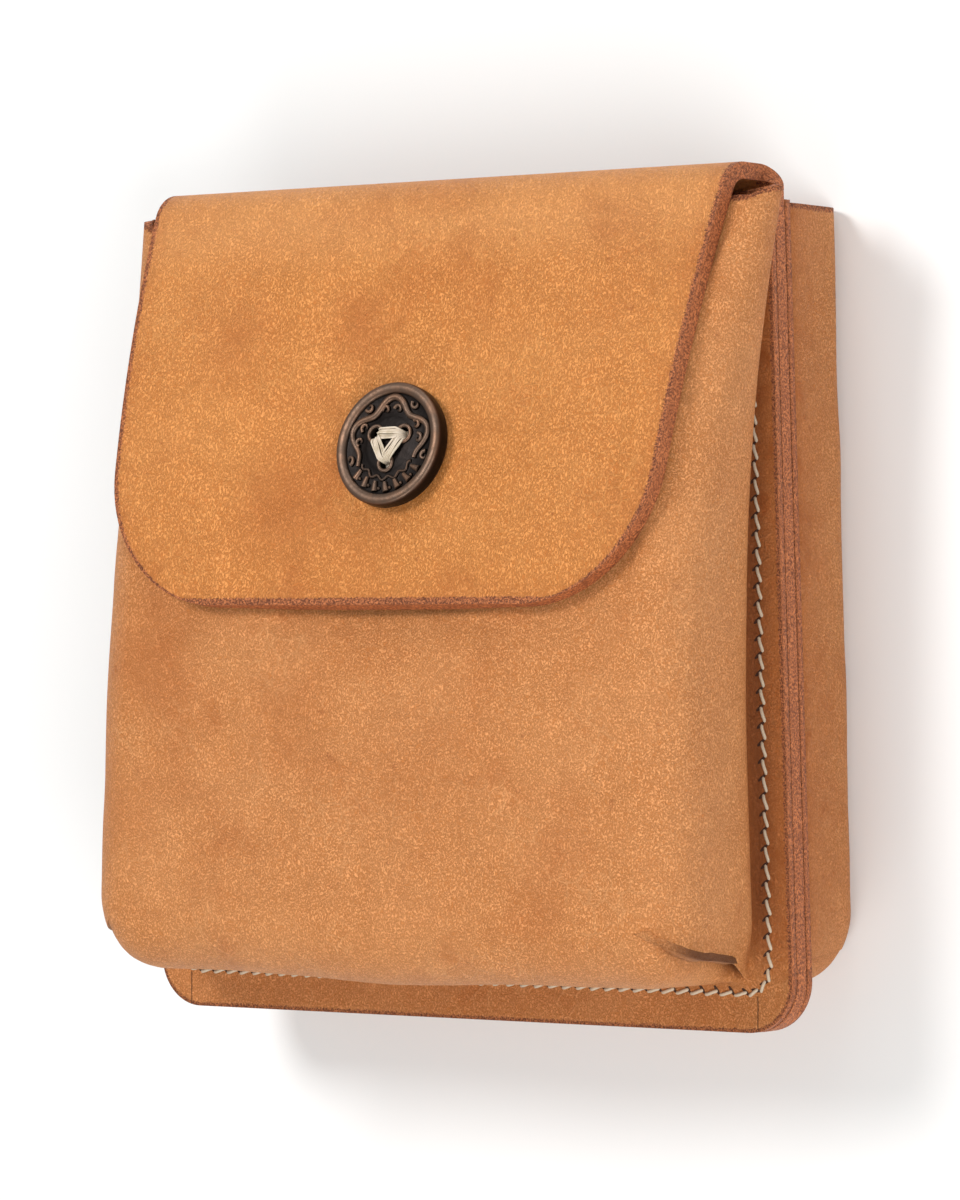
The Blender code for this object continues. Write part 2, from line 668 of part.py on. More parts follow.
def main():
    clear_scene()
    leather = make_material("pocket_leather", (0.66, 0.29, 0.10), 0.60)
    thick = make_material("panel_leather", (0.62, 0.26, 0.08), 0.50)
    bronze = make_material("aged_bronze", (0.10, 0.06, 0.04), 0.40, 0.8)
    waxed = make_material("waxed_cord", (0.72, 0.62, 0.46), 0.60)
    thread = make_material("linen_thread", (0.70, 0.55, 0.38), 0.65)
    steel = make_material("magnet_steel", (0.55, 0.55, 0.56), 0.30, 1.0)

    pouch = make_empty("pouch", None, (0.0, -POUCH_HEIGHT / 2, -BACK_FACE))
    pivot = Vector((0.0, HINGE_HEIGHT, -PANEL_THICKNESS))
    hinge = make_empty("flap_hinge", pouch, pivot)

    centre_panel(thick, pouch)
    moulded_pocket("front_pocket", front_side, front_bottom, front_face, leather, pouch, (0, 0, 0), 1)
    behind = (0, 0, -PANEL_THICKNESS)
    moulded_pocket("rear_pocket", rear_side, rear_bottom, rear_face, leather, pouch, behind, -1)
    stitching("front_stitching", thread, pouch, (0, 0, 0), 1)
    stitching("rear_stitching", thread, pouch, behind, -1)

    tilt = -flap_lean(BUTTON_HEIGHT)
    seat = Vector((BUTTON_OFFSET, BUTTON_HEIGHT, flap_face(BUTTON_OFFSET, BUTTON_HEIGHT)))
    normal = Vector((0.0, -sin(tilt), cos(tilt)))
    on_flap = seat + normal * SEAT_GAP
    on_hinge = on_flap - pivot
    back = -SEAT_GAP - FLAP_THICKNESS

    high = BUTTON_THICKNESS * 2
    low = back * 2
    button_bores = hole_cutters(hinge, on_hinge, tilt, high, low, BUTTON_HOLE_RADIUS, "button_bore")
    flap_hole = CORD_DIAMETER / 2 + CORD_CLEARANCE
    flap_bores = hole_cutters(hinge, on_hinge, tilt, high, low, flap_hole, "flap_bore")
    flap(thick, hinge, pivot, flap_bores)
    button(bronze, hinge, on_hinge, tilt, button_bores)
    button_cord(waxed, hinge, on_hinge, tilt)
    under_cord = back - SEAT_GAP - CORD_DIAMETER / 2 - SEAT_GAP
    magnet("flap_magnet", steel, hinge, on_hinge, tilt, under_cord)
    magnet_patch("flap_magnet_patch", leather, hinge, on_hinge, tilt, back - SEAT_GAP)

    inner = Vector((BUTTON_OFFSET, BUTTON_HEIGHT, front_face(BUTTON_OFFSET, BUTTON_HEIGHT)))
    inner -= normal * (POCKET_LEATHER + SEAT_GAP)
    magnet("pocket_magnet", steel, pouch, inner, tilt, -SEAT_GAP)
    magnet_patch("pocket_magnet_patch", leather, pouch, inner, tilt, 0.0)


main()
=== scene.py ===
"""Looks of the two-pocket leather pouch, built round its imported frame."""

from math import atan, atan2, cos, exp, pi, radians, sin, sqrt

import bmesh
import bpy
from bpy.props import FloatProperty, FloatVectorProperty, PointerProperty
from mathutils import Matrix, Vector, noise


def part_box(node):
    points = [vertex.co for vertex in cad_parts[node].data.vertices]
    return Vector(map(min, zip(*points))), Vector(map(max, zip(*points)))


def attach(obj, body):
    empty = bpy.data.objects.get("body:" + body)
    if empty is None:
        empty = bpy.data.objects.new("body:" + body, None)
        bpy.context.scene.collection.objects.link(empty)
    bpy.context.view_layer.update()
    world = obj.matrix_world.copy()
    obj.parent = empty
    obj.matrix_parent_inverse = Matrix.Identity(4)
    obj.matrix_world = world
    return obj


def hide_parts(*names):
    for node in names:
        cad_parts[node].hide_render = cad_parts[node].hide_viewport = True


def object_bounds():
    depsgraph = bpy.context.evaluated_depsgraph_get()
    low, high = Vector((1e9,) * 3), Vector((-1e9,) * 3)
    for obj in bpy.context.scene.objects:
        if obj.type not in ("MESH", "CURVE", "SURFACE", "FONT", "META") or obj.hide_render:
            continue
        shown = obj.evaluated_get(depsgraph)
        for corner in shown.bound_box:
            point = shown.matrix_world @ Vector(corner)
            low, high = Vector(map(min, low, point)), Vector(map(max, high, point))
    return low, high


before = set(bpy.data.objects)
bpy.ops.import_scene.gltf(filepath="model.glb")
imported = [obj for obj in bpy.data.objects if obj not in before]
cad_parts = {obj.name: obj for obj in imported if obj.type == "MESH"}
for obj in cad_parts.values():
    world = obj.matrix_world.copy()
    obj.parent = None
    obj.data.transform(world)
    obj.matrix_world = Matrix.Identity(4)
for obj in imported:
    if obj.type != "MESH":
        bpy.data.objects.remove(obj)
CAD_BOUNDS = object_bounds()

bl_info = {
    "name": "Two-pocket leather pouch",
    "version": (1, 0, 0),
    "blender": (4, 5, 0),
    "location": "3D View > Sidebar > Pouch",
    "description": "Builds the leather, stitches, button and cord of a moulded belt pouch",
    "category": "Add Mesh",
}

PANEL_LOW, PANEL_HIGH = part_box("centre_panel")
BASE = PANEL_LOW.y
FRONT = PANEL_HIGH.z

# Camera: where it stands, in metres, and how the photo is framed, in its pixels
AZIMUTH = radians(36.0)
DISTANCE = 1.100
SIDE_SHIFT = 0.00195
HORIZON = 0.0756
HORIZON_DROP = 40.0
FOCAL_PIXELS = 5500.0
PICTURE_HEIGHT = 1200
SENSOR_HEIGHT = 24.0

# Strands of the flat cord bundle that holds the button
STRANDS = 7

# Round area lamps: name, position, diameter and power
LAMPS = [("key", (-0.32, 0.50, 1.05), 0.36, 7.8), ("fill", (0.85, -0.30, 0.80), 0.60, 6.7),
         ("top", (0.10, 0.90, 0.35), 0.50, 2.0), ("low", (0.05, -0.85, 0.75), 0.50, 3.5)]
SKY_STRENGTH = 0.36
FLOOR_SIZE = 8.0
FLOOR_DROP = 0.0002

# How finely the leather is divided
SIDE_STEPS = 70
CORNER_STEPS = 20
BOTTOM_STEPS = 30
FLANGE_STEPS = 5
WALL_STEPS = 14
ARC_STEPS = 12
SHEET_COLUMNS = 60
BACK_FOLD_STEPS = 12
FRONT_FOLD_STEPS = 14
FLAP_RUN_STEPS = 44
FLAP_CORNER_STEPS = 20
PANEL_RUN_STEPS = 40
PANEL_CORNER_STEPS = 10

# Darker places of the leather: across, up and out, radius and strength. The wide ones nearest the button
# and on the pocket just under the flap's left are painted shade of the dished leather there; the rest,
# small specks among them, are the leather's own darker tone
FLAP_SPOTS = [(-0.012, 0.137, 0.018, 0.013, 0.55), (-0.023, 0.101, 0.030, 0.020, 0.62),
              (-0.004, 0.096, 0.032, 0.013, 0.35), (-0.040, 0.134, 0.020, 0.016, 0.40),
              (-0.052, 0.142, 0.016, 0.010, 0.35), (0.052, 0.138, 0.018, 0.011, 0.30),
              (0.028, 0.149, 0.014, 0.0022, 0.65), (-0.003, 0.1525, 0.012, 0.0016, 0.95),
              (0.030, 0.135, 0.020, 0.0028, 0.40)]
POCKET_SPOTS = [(-0.055, 0.073, 0.036, 0.020, 0.45), (-0.020, 0.062, 0.036, 0.018, 0.28),
                (0.010, 0.050, 0.036, 0.024, 0.22), (-0.060, 0.040, 0.034, 0.014, 0.30),
                (-0.056, 0.047, 0.035, 0.0020, 0.55), (-0.030, 0.055, 0.036, 0.0016, 0.45)]

# No stretch of a finish's coordinates
EVEN = (1.0, 1.0, 1.0)

# Finishes made so far, so that pieces of one leather share theirs
FINISHES = {}


def length(name, default, description):
    return FloatProperty(name=name, description=description, default=default, unit="LENGTH", precision=5)


def share(name, default, description):
    return FloatProperty(name=name, description=description, default=default)


def colour(name, default, description):
    return FloatVectorProperty(name=name, description=description, default=default, subtype="COLOR",
                               size=3, min=0.0, max=1.0)


class PouchSizes(bpy.types.PropertyGroup):
    """Sizes of the leather, the stitches and the button."""

    height: length("Height", 0.1673, "From the lower edge to the top of the fold")
    gap: length("Seat gap", 0.0003, "Room between pieces that touch")
    panel_top: length("Panel top", 0.1452, "Width of the centre panel at the mouth")
    panel_bottom: length("Panel bottom", 0.1560, "Width of the centre panel at its foot")
    panel: length("Panel leather", 0.0032, "Thickness of the centre panel")
    panel_corner: length("Panel corner", 0.0100, "Radius of the lower corners")
    pocket: length("Pocket leather", 0.0017, "Thickness of the moulded pockets")
    mouth: length("Mouth", 0.1606, "Height of both mouths above the lower edge")
    side_margin: length("Side margin", 0.0050, "From the side seam to the edge")
    bottom_margin: length("Bottom margin", 0.0075, "From the bottom seam to the edge")
    seam_corner: length("Seam corner", 0.0050, "Radius of the seam at the lower corners")
    joint: length("Flange joint", 0.0699, "From the middle to the fine cut in the flange")
    body_corner: length("Body corner", 0.0150, "Radius of the moulded lower corners")
    front_depth: length("Front depth", 0.0346, "Depth of the front pocket at its belly")
    front_mouth_depth: length("Front mouth depth", 0.0105, "Depth of the front pocket at its mouth")
    belly: length("Belly", 0.0450, "Height up to which the front pocket keeps its depth")
    front_ridge: length("Front ridge", 0.0140, "Height at which the front's walls stand out most")
    front_mouth_ridge: length("Front mouth ridge", 0.0058, "The same height at the mouth")
    front_bulge: length("Front bulge", 0.0012, "How far the front's sides stand out past the seam")
    front_mouth_bulge: length("Front mouth bulge", 0.0105, "The same at the mouth")
    front_foot: length("Front foot", 0.0003, "How far the front's lower wall stands back from the seam")
    front_corner_foot: length("Front corner foot", 0.0016, "The same at the lower corners")
    front_edge: length("Front edge", 0.0120, "Radius between the front's walls and its face")
    rear_depth: length("Rear depth", 0.0267, "Depth of the rear pocket")
    rear_ridge: length("Rear ridge", 0.0100, "Height at which the rear walls stand out most")
    rear_bulge: length("Rear bulge", 0.0008, "How far the rear's sides stand out past the seam")
    rear_mouth_bulge: length("Rear mouth bulge", 0.0016, "The same at the mouth")
    rear_sag: length("Rear sag", 0.0006, "How far the rear's lower wall sags in the middle")
    rear_edge: length("Rear edge", 0.0050, "Radius between the rear's walls and its face")
    set_in: length("Set-in", 0.0020, "How far the foot of a wall lies inside the seam")
    foot_rise: length("Foot rise", 0.0011, "How far the foot of a wall rises from the flange")
    wall_lean: length("Wall lean", 0.0012, "How far a wall leans in over its foot")
    face_corner: length("Face corner", 0.0055, "Smallest corner radius, at the face's rim")
    flap: length("Flap leather", 0.0033, "Thickness of the flap")
    flap_top: length("Flap top", 0.1396, "Width of the flap at the mouth")
    flap_bottom: length("Flap bottom", 0.1290, "Width of the flap at its lower edge")
    flap_edge: length("Flap edge", 0.0825, "Height of the flap's lower edge")
    flap_corner: length("Flap corner", 0.0270, "Radius of the flap's lower corners")
    stand_off: length("Stand-off", 0.0008, "Room between the flap and the pocket")
    dish: length("Dish", 0.0045, "How far the flap is drawn in at the button")
    dish_radius: length("Dish radius", 0.0360, "Reach of the dish")
    dent: length("Dent", 0.0082, "How far the pocket is pressed in behind the closure")
    dent_radius: length("Dent radius", 0.0340, "Reach of the dent")
    run_in: length("Run-in", 0.0008, "Straight start of the fold")
    fold_back: length("Fold back", 0.0042, "Outer radius of the fold at the back")
    fold_front: length("Fold front", 0.0075, "Outer radius of the fold at the front")
    hinge_gap: length("Hinge gap", 0.00004, "Room between panel and flap at the hinge")
    edge_round: length("Edge round", 0.0011, "Rounding of the thick leather's cut edges")
    button_height: length("Button height", 0.1132, "Height of the button's middle")
    button_offset: length("Button offset", 0.0015, "How far the button sits to the right")
    button: length("Button", 0.0250, "Diameter of the button")
    button_thick: length("Button thickness", 0.0040, "Thickness of the button's rim")
    button_rim: length("Button rim", 0.0022, "Width of the button's rim")
    button_recess: length("Button recess", 0.0011, "How far the button's floor lies below its rim")
    hole_circle: length("Hole circle", 0.0039, "From the button's middle to its holes")
    hole: length("Hole", 0.0013, "Radius of the button's holes")
    stitch: length("Stitch", 0.0034, "Length of one stitch")
    thread: length("Thread", 0.0009, "Width of the thread")
    lip: length("Lip", 0.0019, "How far the sides of the front mouth rise")
    lip_reach: length("Lip reach", 0.0220, "How far below the mouth the lip starts to rise")
    magnet: length("Magnet", 0.0140, "Diameter of the hidden magnets")
    magnet_thick: length("Magnet thickness", 0.0015, "Thickness of the hidden magnets")
    patch: length("Magnet patch", 0.0240, "Diameter of the leather patch over a magnet")
    patch_leather: length("Patch leather", 0.0010, "Thickness of the patch")
    cord: length("Cord", 0.0016, "Room that the cord takes behind the flap")
    strand: length("Strand", 0.0004, "Thickness of one strand of the button's cord")
    pleat: length("Pleat", 0.0014, "Step where the leather folds over at a lower corner")
    pleat_turn: share("Pleat turn", 0.44, "Where round the corner the pleat starts")
    pleat_lean: share("Pleat lean", 0.66, "Where round the corner the pleat ends")
    flat_fold: share("Flat fold", 0.35, "Share of the pleat where it lies flat")
    sway: length("Sway", 0.00035, "Height of the soft unevenness of the leather")


class PouchColours(bpy.types.PropertyGroup):
    """Colours of the finishes."""

    flap: colour("Flap", (0.765, 0.294, 0.069), "Thick leather of the panel and flap")
    pocket: colour("Pocket", (0.745, 0.302, 0.094), "Thinner leather of the pockets")
    # the deep tone is also the colour that the painted shade low on the walls, beside the seam and under
    # the pleats is drawn toward
    deep: colour("Deep tone", (0.475, 0.128, 0.022), "Darker orange that the leather takes in patches")
    edge: colour("Burnished edge", (0.350, 0.118, 0.048), "Cut edges rubbed smooth")
    thread: colour("Thread", (0.780, 0.640, 0.460), "Waxed thread of the seams")
    bronze: colour("Bronze", (0.150, 0.095, 0.066), "Raised parts of the button")
    cord: colour("Cord", (0.660, 0.550, 0.430), "Cord that holds the button")
    floor: colour("Floor", (0.860, 0.860, 0.850), "Floor under the pouch")


def sizes():
    return bpy.context.scene.pouch_sizes


def colours():
    return bpy.context.scene.pouch_colours


def mix(a, b, t):
    return a + (b - a) * t


def smooth(t):
    t = min(max(t, 0.0), 1.0)
    return t * t * (3 - 2 * t)


def place(x, u, w):
    """Point of the frame from the pouch's own across, up and out."""
    return Vector((x, u + BASE, w + FRONT))


# Leather forms, as in the frame but finer

def panel_half(u):
    s = sizes()
    return mix(s.panel_bottom, s.panel_top, u / s.mouth) / 2


def seam_half(u):
    return panel_half(u) - sizes().side_margin


def front_slope(u):
    s = sizes()
    return max(0.0, (u - s.belly) / (s.mouth - s.belly)) ** 2


def front_plain(u):
    s = sizes()
    return mix(s.front_depth, s.front_mouth_depth, front_slope(u))


def reach(x, u):
    s = sizes()
    return sqrt((x - s.button_offset) ** 2 + (u - s.button_height) ** 2)


def front_face(x, u):
    s = sizes()
    return front_plain(u) - s.dent * exp(-(reach(x, u) / s.dent_radius) ** 4)


def rear_face(x, u):
    return sizes().rear_depth


def flap_face(x, u):
    s = sizes()
    return front_plain(u) + s.stand_off + s.flap - s.dish * exp(-(reach(x, u) / s.dish_radius) ** 4)


def bezier(p0, p1, p2, p3, t):
    s = 1 - t
    weights = (s ** 3, 3 * s * s * t, 3 * s * t * t, t ** 3)
    return [sum(w * p[k] for w, p in zip(weights, (p0, p1, p2, p3))) for k in (0, 1)]


def front_side(u):
    """Bulge, ridge, edge radius and depth of the front pocket's side at a height."""
    s = sizes()
    slope = front_slope(u)
    ridge = mix(s.front_ridge, s.front_mouth_ridge, slope)
    depth = front_plain(u)
    radius = min(s.front_edge, 0.9 * (depth - ridge))
    return mix(s.front_bulge, s.front_mouth_bulge, slope), ridge, radius, depth


def front_bottom(t):
    """The same for its lower wall, from the middle to the corner."""
    s = sizes()
    bulge = -mix(s.front_foot, s.front_corner_foot, smooth(1.5 * t))
    return bulge, s.front_ridge, s.front_edge, s.front_depth


def rear_side(u):
    s = sizes()
    return mix(s.rear_bulge, s.rear_mouth_bulge, u / s.mouth), s.rear_ridge, s.rear_edge, s.rear_depth


def rear_bottom(t):
    s = sizes()
    return s.rear_sag * (1 - t * t), s.rear_ridge, s.rear_edge, s.rear_depth


def section(margin, bulge, ridge, radius, depth):
    """Leather's outer face across the seam: distance outside it, height and corner radius."""
    s = sizes()
    top = s.gap + s.pocket
    foot = (-s.set_in, top + s.foot_rise)
    lean_in = (foot[0] - s.wall_lean, mix(foot[1], ridge, 0.45))
    swell = (bulge, mix(foot[1], ridge, 0.1))
    levels = []
    for k in range(FLANGE_STEPS, -1, -1):
        inner = k / FLANGE_STEPS
        levels.append((margin * inner, top, mix(s.seam_corner, s.panel_corner, inner)))
    levels.append((-0.7 * s.set_in, top, s.seam_corner))
    for i in range(WALL_STEPS + 1):
        out, w = bezier(foot, lean_in, swell, (bulge, ridge), i / WALL_STEPS)
        levels.append((out, w, mix(s.seam_corner, s.body_corner, smooth(i / WALL_STEPS))))
    for i in range(ARC_STEPS + 1):
        angle = pi / 2 * i / ARC_STEPS
        inward = radius * (1 - cos(angle))
        corner = max(s.body_corner - inward, s.face_corner)
        levels.append((bulge - inward, depth - radius * (1 - sin(angle)), corner))
    return levels


def around(station, out_side, out_bottom, corner):
    """Point on a rounded outline that lies some distance outside the seam."""
    s = sizes()
    stretch, t = station
    centre_u = s.bottom_margin - out_bottom + corner
    if stretch == "side":
        u = mix(centre_u, s.mouth, t)
        return seam_half(u) + out_side, u
    centre_x = seam_half(centre_u) + out_side - corner
    if stretch == "bottom":
        return centre_x * t, centre_u - corner
    angle = t * pi / 2
    return centre_x + corner * sin(angle), centre_u - corner * cos(angle)


def fold_fade(rise):
    """How full the fold is at a height of the wall: it fades out at the flange and at the face."""
    return smooth(rise * 9) * smooth((1 - rise) * 4)


def pleat(turn, rise):
    """How far the leather stands out where it folds over, and in just under the fold."""
    s = sizes()
    away = turn - s.pleat_turn
    if away >= 0:
        return 0.6 * s.pleat * exp(-(away / 0.18) ** 2) * fold_fade(rise)
    tucked = -1.1 * exp(-(away / 0.09) ** 2)
    swell = 0.30 * exp(-((away + 0.24) / 0.10) ** 2)
    return s.pleat * (tucked + swell) * fold_fade(rise)


def leaned(turn, rise):
    """Turn of a station at a height of the wall: the pleat leans over on its way to the face."""
    s = sizes()
    target = mix(s.pleat_turn, s.pleat_lean, smooth(rise * 1.8))
    if turn < s.pleat_turn:
        return turn / s.pleat_turn * target
    return target + (turn - s.pleat_turn) / (1 - s.pleat_turn) * (1 - target)


def pleat_shadow(turn, rise):
    """How dark the painted shadow is close under the fold, from 0 to 1."""
    away = turn - sizes().pleat_turn
    if away > 0:
        return 0.0
    return exp(-(away / 0.055) ** 2) * fold_fade(rise)


def turns():
    """Stations round a corner, close together at the pleat."""
    at = sizes().pleat_turn
    crowding = 1.7
    below = [at * (1 - (1 - i / CORNER_STEPS) ** crowding) for i in range(CORNER_STEPS)]
    above = [at + (1 - at) * (i / CORNER_STEPS) ** crowding for i in range(CORNER_STEPS + 1)]
    return below + [at - 0.001] + above


def half_sheet(side, bottom, lip, fold):
    """Lines of points across one half of the seam, from its lower middle round the corner to the mouth.

    Each point holds its place and, as a fourth value, its share of the pleat's shadow.
    """
    s = sizes()
    top = s.gap + s.pocket
    stations = [("bottom", i / BOTTOM_STEPS) for i in range(BOTTOM_STEPS)]
    stations += [("corner", turn) for turn in turns()]
    stations += [("side", i / SIDE_STEPS) for i in range(1, SIDE_STEPS + 1)]
    at_corner = section(s.bottom_margin, *bottom(1.0))
    low_side = section(s.side_margin, *side(s.body_corner))
    lines = []
    for station in stations:
        stretch, t = station
        lower, upper = at_corner, low_side
        if stretch == "bottom":
            lower = section(s.bottom_margin, *bottom(t))
        if stretch == "side":
            upper = section(s.side_margin, *side(mix(s.body_corner, s.mouth, t)))
        part = {"bottom": 0.0, "corner": smooth(t), "side": 1.0}[stretch]
        height = mix(lower[-1][1], upper[-1][1], part)
        line = []
        for k, ((out_b, w_b, corner_b), (out_s, w_s, corner_s)) in enumerate(zip(lower, upper)):
            w = mix(w_b, w_s, part)
            rise = (w - top) / (height - top)
            spot, tuck, shadow_share = station, 0.0, 0.0
            if stretch == "corner":
                spot = (stretch, leaned(t, rise))
                tuck = fold * pleat(t, rise)
                # painted shadow close under the pleat's fold
                shadow_share = fold * pleat_shadow(t, rise)
            x, u = around(spot, out_s + tuck, out_b + tuck, mix(corner_b, corner_s, part))
            arch = sin(pi * max(0, k - FLANGE_STEPS - 2) / (len(lower) - FLANGE_STEPS - 3))
            u += lip * arch * smooth((u - s.mouth + s.lip_reach) / s.lip_reach)
            line.append(Vector((x, u, w, shadow_share)))
        lines.append(line)
    return lines


def pocket_sheet(side, bottom, face, lip, folds):
    """Outer face of a moulded pocket: lines of points across its seam, and a grid for its face."""
    left, right = [half_sheet(side, bottom, lip, fold) for fold in folds]
    rows = [[Vector((-p.x, p.y, p.z, p.w)) for p in line] for line in left[:0:-1]] + right
    for line in rows:
        line[-1].z = face(line[-1].x, line[-1].y)
    return rows, face_grid([line[-1] for line in rows], SIDE_STEPS + CORNER_STEPS, face)


def face_grid(rim, side, face):
    """Grid of points across the pocket's face, spanned by its rim."""
    last = len(rim) - 1
    columns = last - 2 * side
    grid = []
    for r in range(side + 1):
        line = []
        for c in range(columns + 1):
            across = c / columns
            down = r / side
            level = rim[r].lerp(rim[last - r], across)
            upright = rim[0].lerp(rim[last], across).lerp(rim[side + c], down)
            corner = rim[0].lerp(rim[last], across).lerp(rim[side].lerp(rim[last - side], across), down)
            point = level + upright - corner
            line.append(Vector((point.x, point.y, face(point.x, point.y), point.w)))
        grid.append(line)
    return grid


def quads(bm, rows):
    """Faces between neighbouring rows of vertices."""
    for lower, upper in zip(rows, rows[1:]):
        for a, b, c, d in zip(lower, lower[1:], upper[1:], upper):
            if len({a, b, c, d}) == 4:
                bm.faces.new((a, b, c, d))


def new_object(name, bm, *materials):
    """Turn a bmesh into an object of the scene, with its faces pointing outwards."""
    bmesh.ops.remove_doubles(bm, verts=bm.verts, dist=1e-6)
    bmesh.ops.recalc_face_normals(bm, faces=bm.faces)
    mesh = bpy.data.meshes.new(name)
    bm.to_mesh(mesh)
    bm.free()
    for material in materials:
        mesh.materials.append(material)
    obj = bpy.data.objects.new(name, mesh)
    bpy.context.scene.collection.objects.link(obj)
    mesh.shade_smooth()
    return obj


def choose(obj):
    """Select one object and make it the active one."""
    bpy.ops.object.select_all(action="DESELECT")
    obj.select_set(True)
    bpy.context.view_layer.objects.active = obj


def apply_all(obj):
    """Apply every modifier."""
    choose(obj)
    for modifier in list(obj.modifiers):
        bpy.ops.object.modifier_apply(modifier=modifier.name)


# Finishes

class Shade:
    """A socket of a material, on which arithmetic adds Math nodes."""

    def __init__(self, finish, socket):
        self.finish = finish
        self.socket = socket

    def math(self, operation, *others):
        inputs = {0: self, **{k + 1: value for k, value in enumerate(others)}}
        return self.finish.node("ShaderNodeMath", {"operation": operation}, inputs)

    def __add__(self, other):
        return self.math("ADD", other)

    def __sub__(self, other):
        return self.math("SUBTRACT", other)

    def __rsub__(self, other):
        return self.finish.node("ShaderNodeMath", {"operation": "SUBTRACT"}, {0: other, 1: self})

    def __mul__(self, other):
        return self.math("MULTIPLY", other)

    __radd__ = __add__
    __rmul__ = __mul__

    def ramp(self, low, high):
        """0 below low, 1 above high, smooth between."""
        return self.finish.node("ShaderNodeMapRange", {"interpolation_type": "SMOOTHSTEP"},
                                {"Value": self, "From Min": low, "From Max": high})


class Finish:
    """A material under construction."""

    def __init__(self, name, base, roughness, metallic=0.0):
        self.material = bpy.data.materials.new(name)
        self.material.use_nodes = True
        self.tree = self.material.node_tree
        self.shader = self.tree.nodes["Principled BSDF"]
        self.set("Base Color", (*base, 1.0))
        self.set("Roughness", roughness)
        self.set("Metallic", metallic)

    def set(self, name, value):
        socket = self.shader.inputs[name]
        if isinstance(value, Shade):
            self.tree.links.new(value.socket, socket)
        else:
            socket.default_value = value

    def node(self, kind, settings, inputs, output=0):
        node = self.tree.nodes.new(kind)
        for key, value in settings.items():
            setattr(node, key, value)
        for key, value in inputs.items():
            if isinstance(value, Shade):
                self.tree.links.new(value.socket, node.inputs[key])
            else:
                node.inputs[key].default_value = value
        return Shade(self, node.outputs[output])

    def place(self):
        """Object coordinates."""
        return self.node("ShaderNodeTexCoord", {}, {}, "Object")

    def warped(self, stretch, size, amount):
        """Object coordinates, stretched and pushed about by a slow noise."""
        inputs = {"Vector": self.place(), "Scale": 1 / size, "Detail": 2.0}
        drift = self.node("ShaderNodeTexNoise", {}, inputs, "Color")
        drift = self.node("ShaderNodeVectorMath", {"operation": "MULTIPLY"}, {0: drift, 1: (amount,) * 3})
        moved = self.node("ShaderNodeVectorMath", {"operation": "ADD"}, {0: self.place(), 1: drift})
        return self.node("ShaderNodeVectorMath", {"operation": "MULTIPLY"}, {0: moved, 1: stretch})

    def noise(self, size, detail=3.0, roughness=0.5, distortion=0.0, where=None):
        """Noise whose lumps are about one size across."""
        inputs = {"Vector": where or self.place(), "Scale": 1 / size, "Detail": detail,
                  "Roughness": roughness, "Distortion": distortion}
        return self.node("ShaderNodeTexNoise", {}, inputs, "Fac")

    def cell_edges(self, size, where):
        """Distance from the edges between cells about one size across."""
        inputs = {"Vector": where, "Scale": 1 / size}
        return self.node("ShaderNodeTexVoronoi", {"feature": "DISTANCE_TO_EDGE"}, inputs, "Distance")

    def axis(self, name):
        """One of the object coordinates."""
        return self.node("ShaderNodeSeparateXYZ", {}, {"Vector": self.place()}, name)

    def spot(self, middle, radius, where):
        """1 at a place, fading to 0 one radius away."""
        away = self.node("ShaderNodeVectorMath", {"operation": "DISTANCE"}, {0: where, 1: middle}, "Value")
        return 1 - away.ramp(0.0, radius)

    def attribute(self, name):
        """Value that the mesh keeps for each vertex."""
        settings = {"attribute_type": "GEOMETRY", "attribute_name": name}
        return self.node("ShaderNodeAttribute", settings, {}, "Fac")

    def blend(self, amount, below, above):
        """Colour that goes from one to another."""
        full = [(*c, 1.0) if isinstance(c, tuple) else c for c in (below, above)]
        return self.node("ShaderNodeMix", {"data_type": "RGBA"}, {0: amount, 6: full[0], 7: full[1]}, 2)

    def bump(self, height, depth):
        inputs = {"Height": height, "Distance": depth, "Strength": 1.0}
        return self.node("ShaderNodeBump", {}, inputs, "Normal")


def darker(base, factor):
    return tuple(c * factor for c in base)


def tint(base, red, green, blue):
    return tuple(min(1.0, c * k) for c, k in zip(base, (red, green, blue)))


def leather(name, base, grain, stretch, veins, rough, spots, joint=None):
    """Vegetable tanned leather, with fine wavy grain, darker clouds, darker flange and rims, worn edges,
    painted shade low on the pocket walls, beside the seam and under the pleats, and a painted highlight
    over the fold.
    """
    deep = tuple(colours().deep)
    pale = tint(base, 1.16, 1.36, 1.75)
    f = Finish(name, base, rough)
    where = f.warped(stretch, 0.010, 0.0030)
    fine = f.noise(grain, 3.0, 0.60, 0.4, where)
    coarse = f.noise(grain * 2.4, 3.0, 0.60, 0.8, where)
    pores = f.noise(grain * 0.50, 2.0, 0.6, 0.0, where)
    net = 1 - (fine - 0.5).math("ABSOLUTE").ramp(0.008, 0.050)
    vein = 1 - f.cell_edges(veins, f.warped(EVEN, 0.004, 0.0022)).ramp(0.0, 0.085)
    vein = vein * f.noise(0.016, 2.0).ramp(0.48, 0.66)
    blotches = f.noise(0.0065, 3.0, 0.6, 0.8).ramp(0.50, 0.80)
    tone = grained(f, base, deep, pale, fine, pores, net)
    tone = clouded(f, tone, deep, pale, blotches, vein)
    tone = spotted(f, tone, deep, spots, fine)
    tone = painted_shade_and_soil(f, tone, deep, blotches)
    worn = (f.attribute("edge") + (f.noise(0.0005, 3.0, 0.7) - 0.5) * 1.1).ramp(0.42, 0.62)
    tone = f.blend(worn, tone, fibres(f, f.noise(0.00042, 3.0, 0.75).ramp(0.42, 0.60)))
    if joint:
        tone = jointed(f, tone, deep, joint)
    f.set("Base Color", tone)
    f.set("Roughness", rough + 0.16 * (pores - 0.5) + 0.12 * worn)
    height = 0.60 * fine + 0.45 * coarse + 0.25 * pores + 0.20 * net + 0.25 * vein
    f.set("Normal", f.bump(height, 0.00048))
    f.set("Specular IOR Level", 0.32)
    return f.material


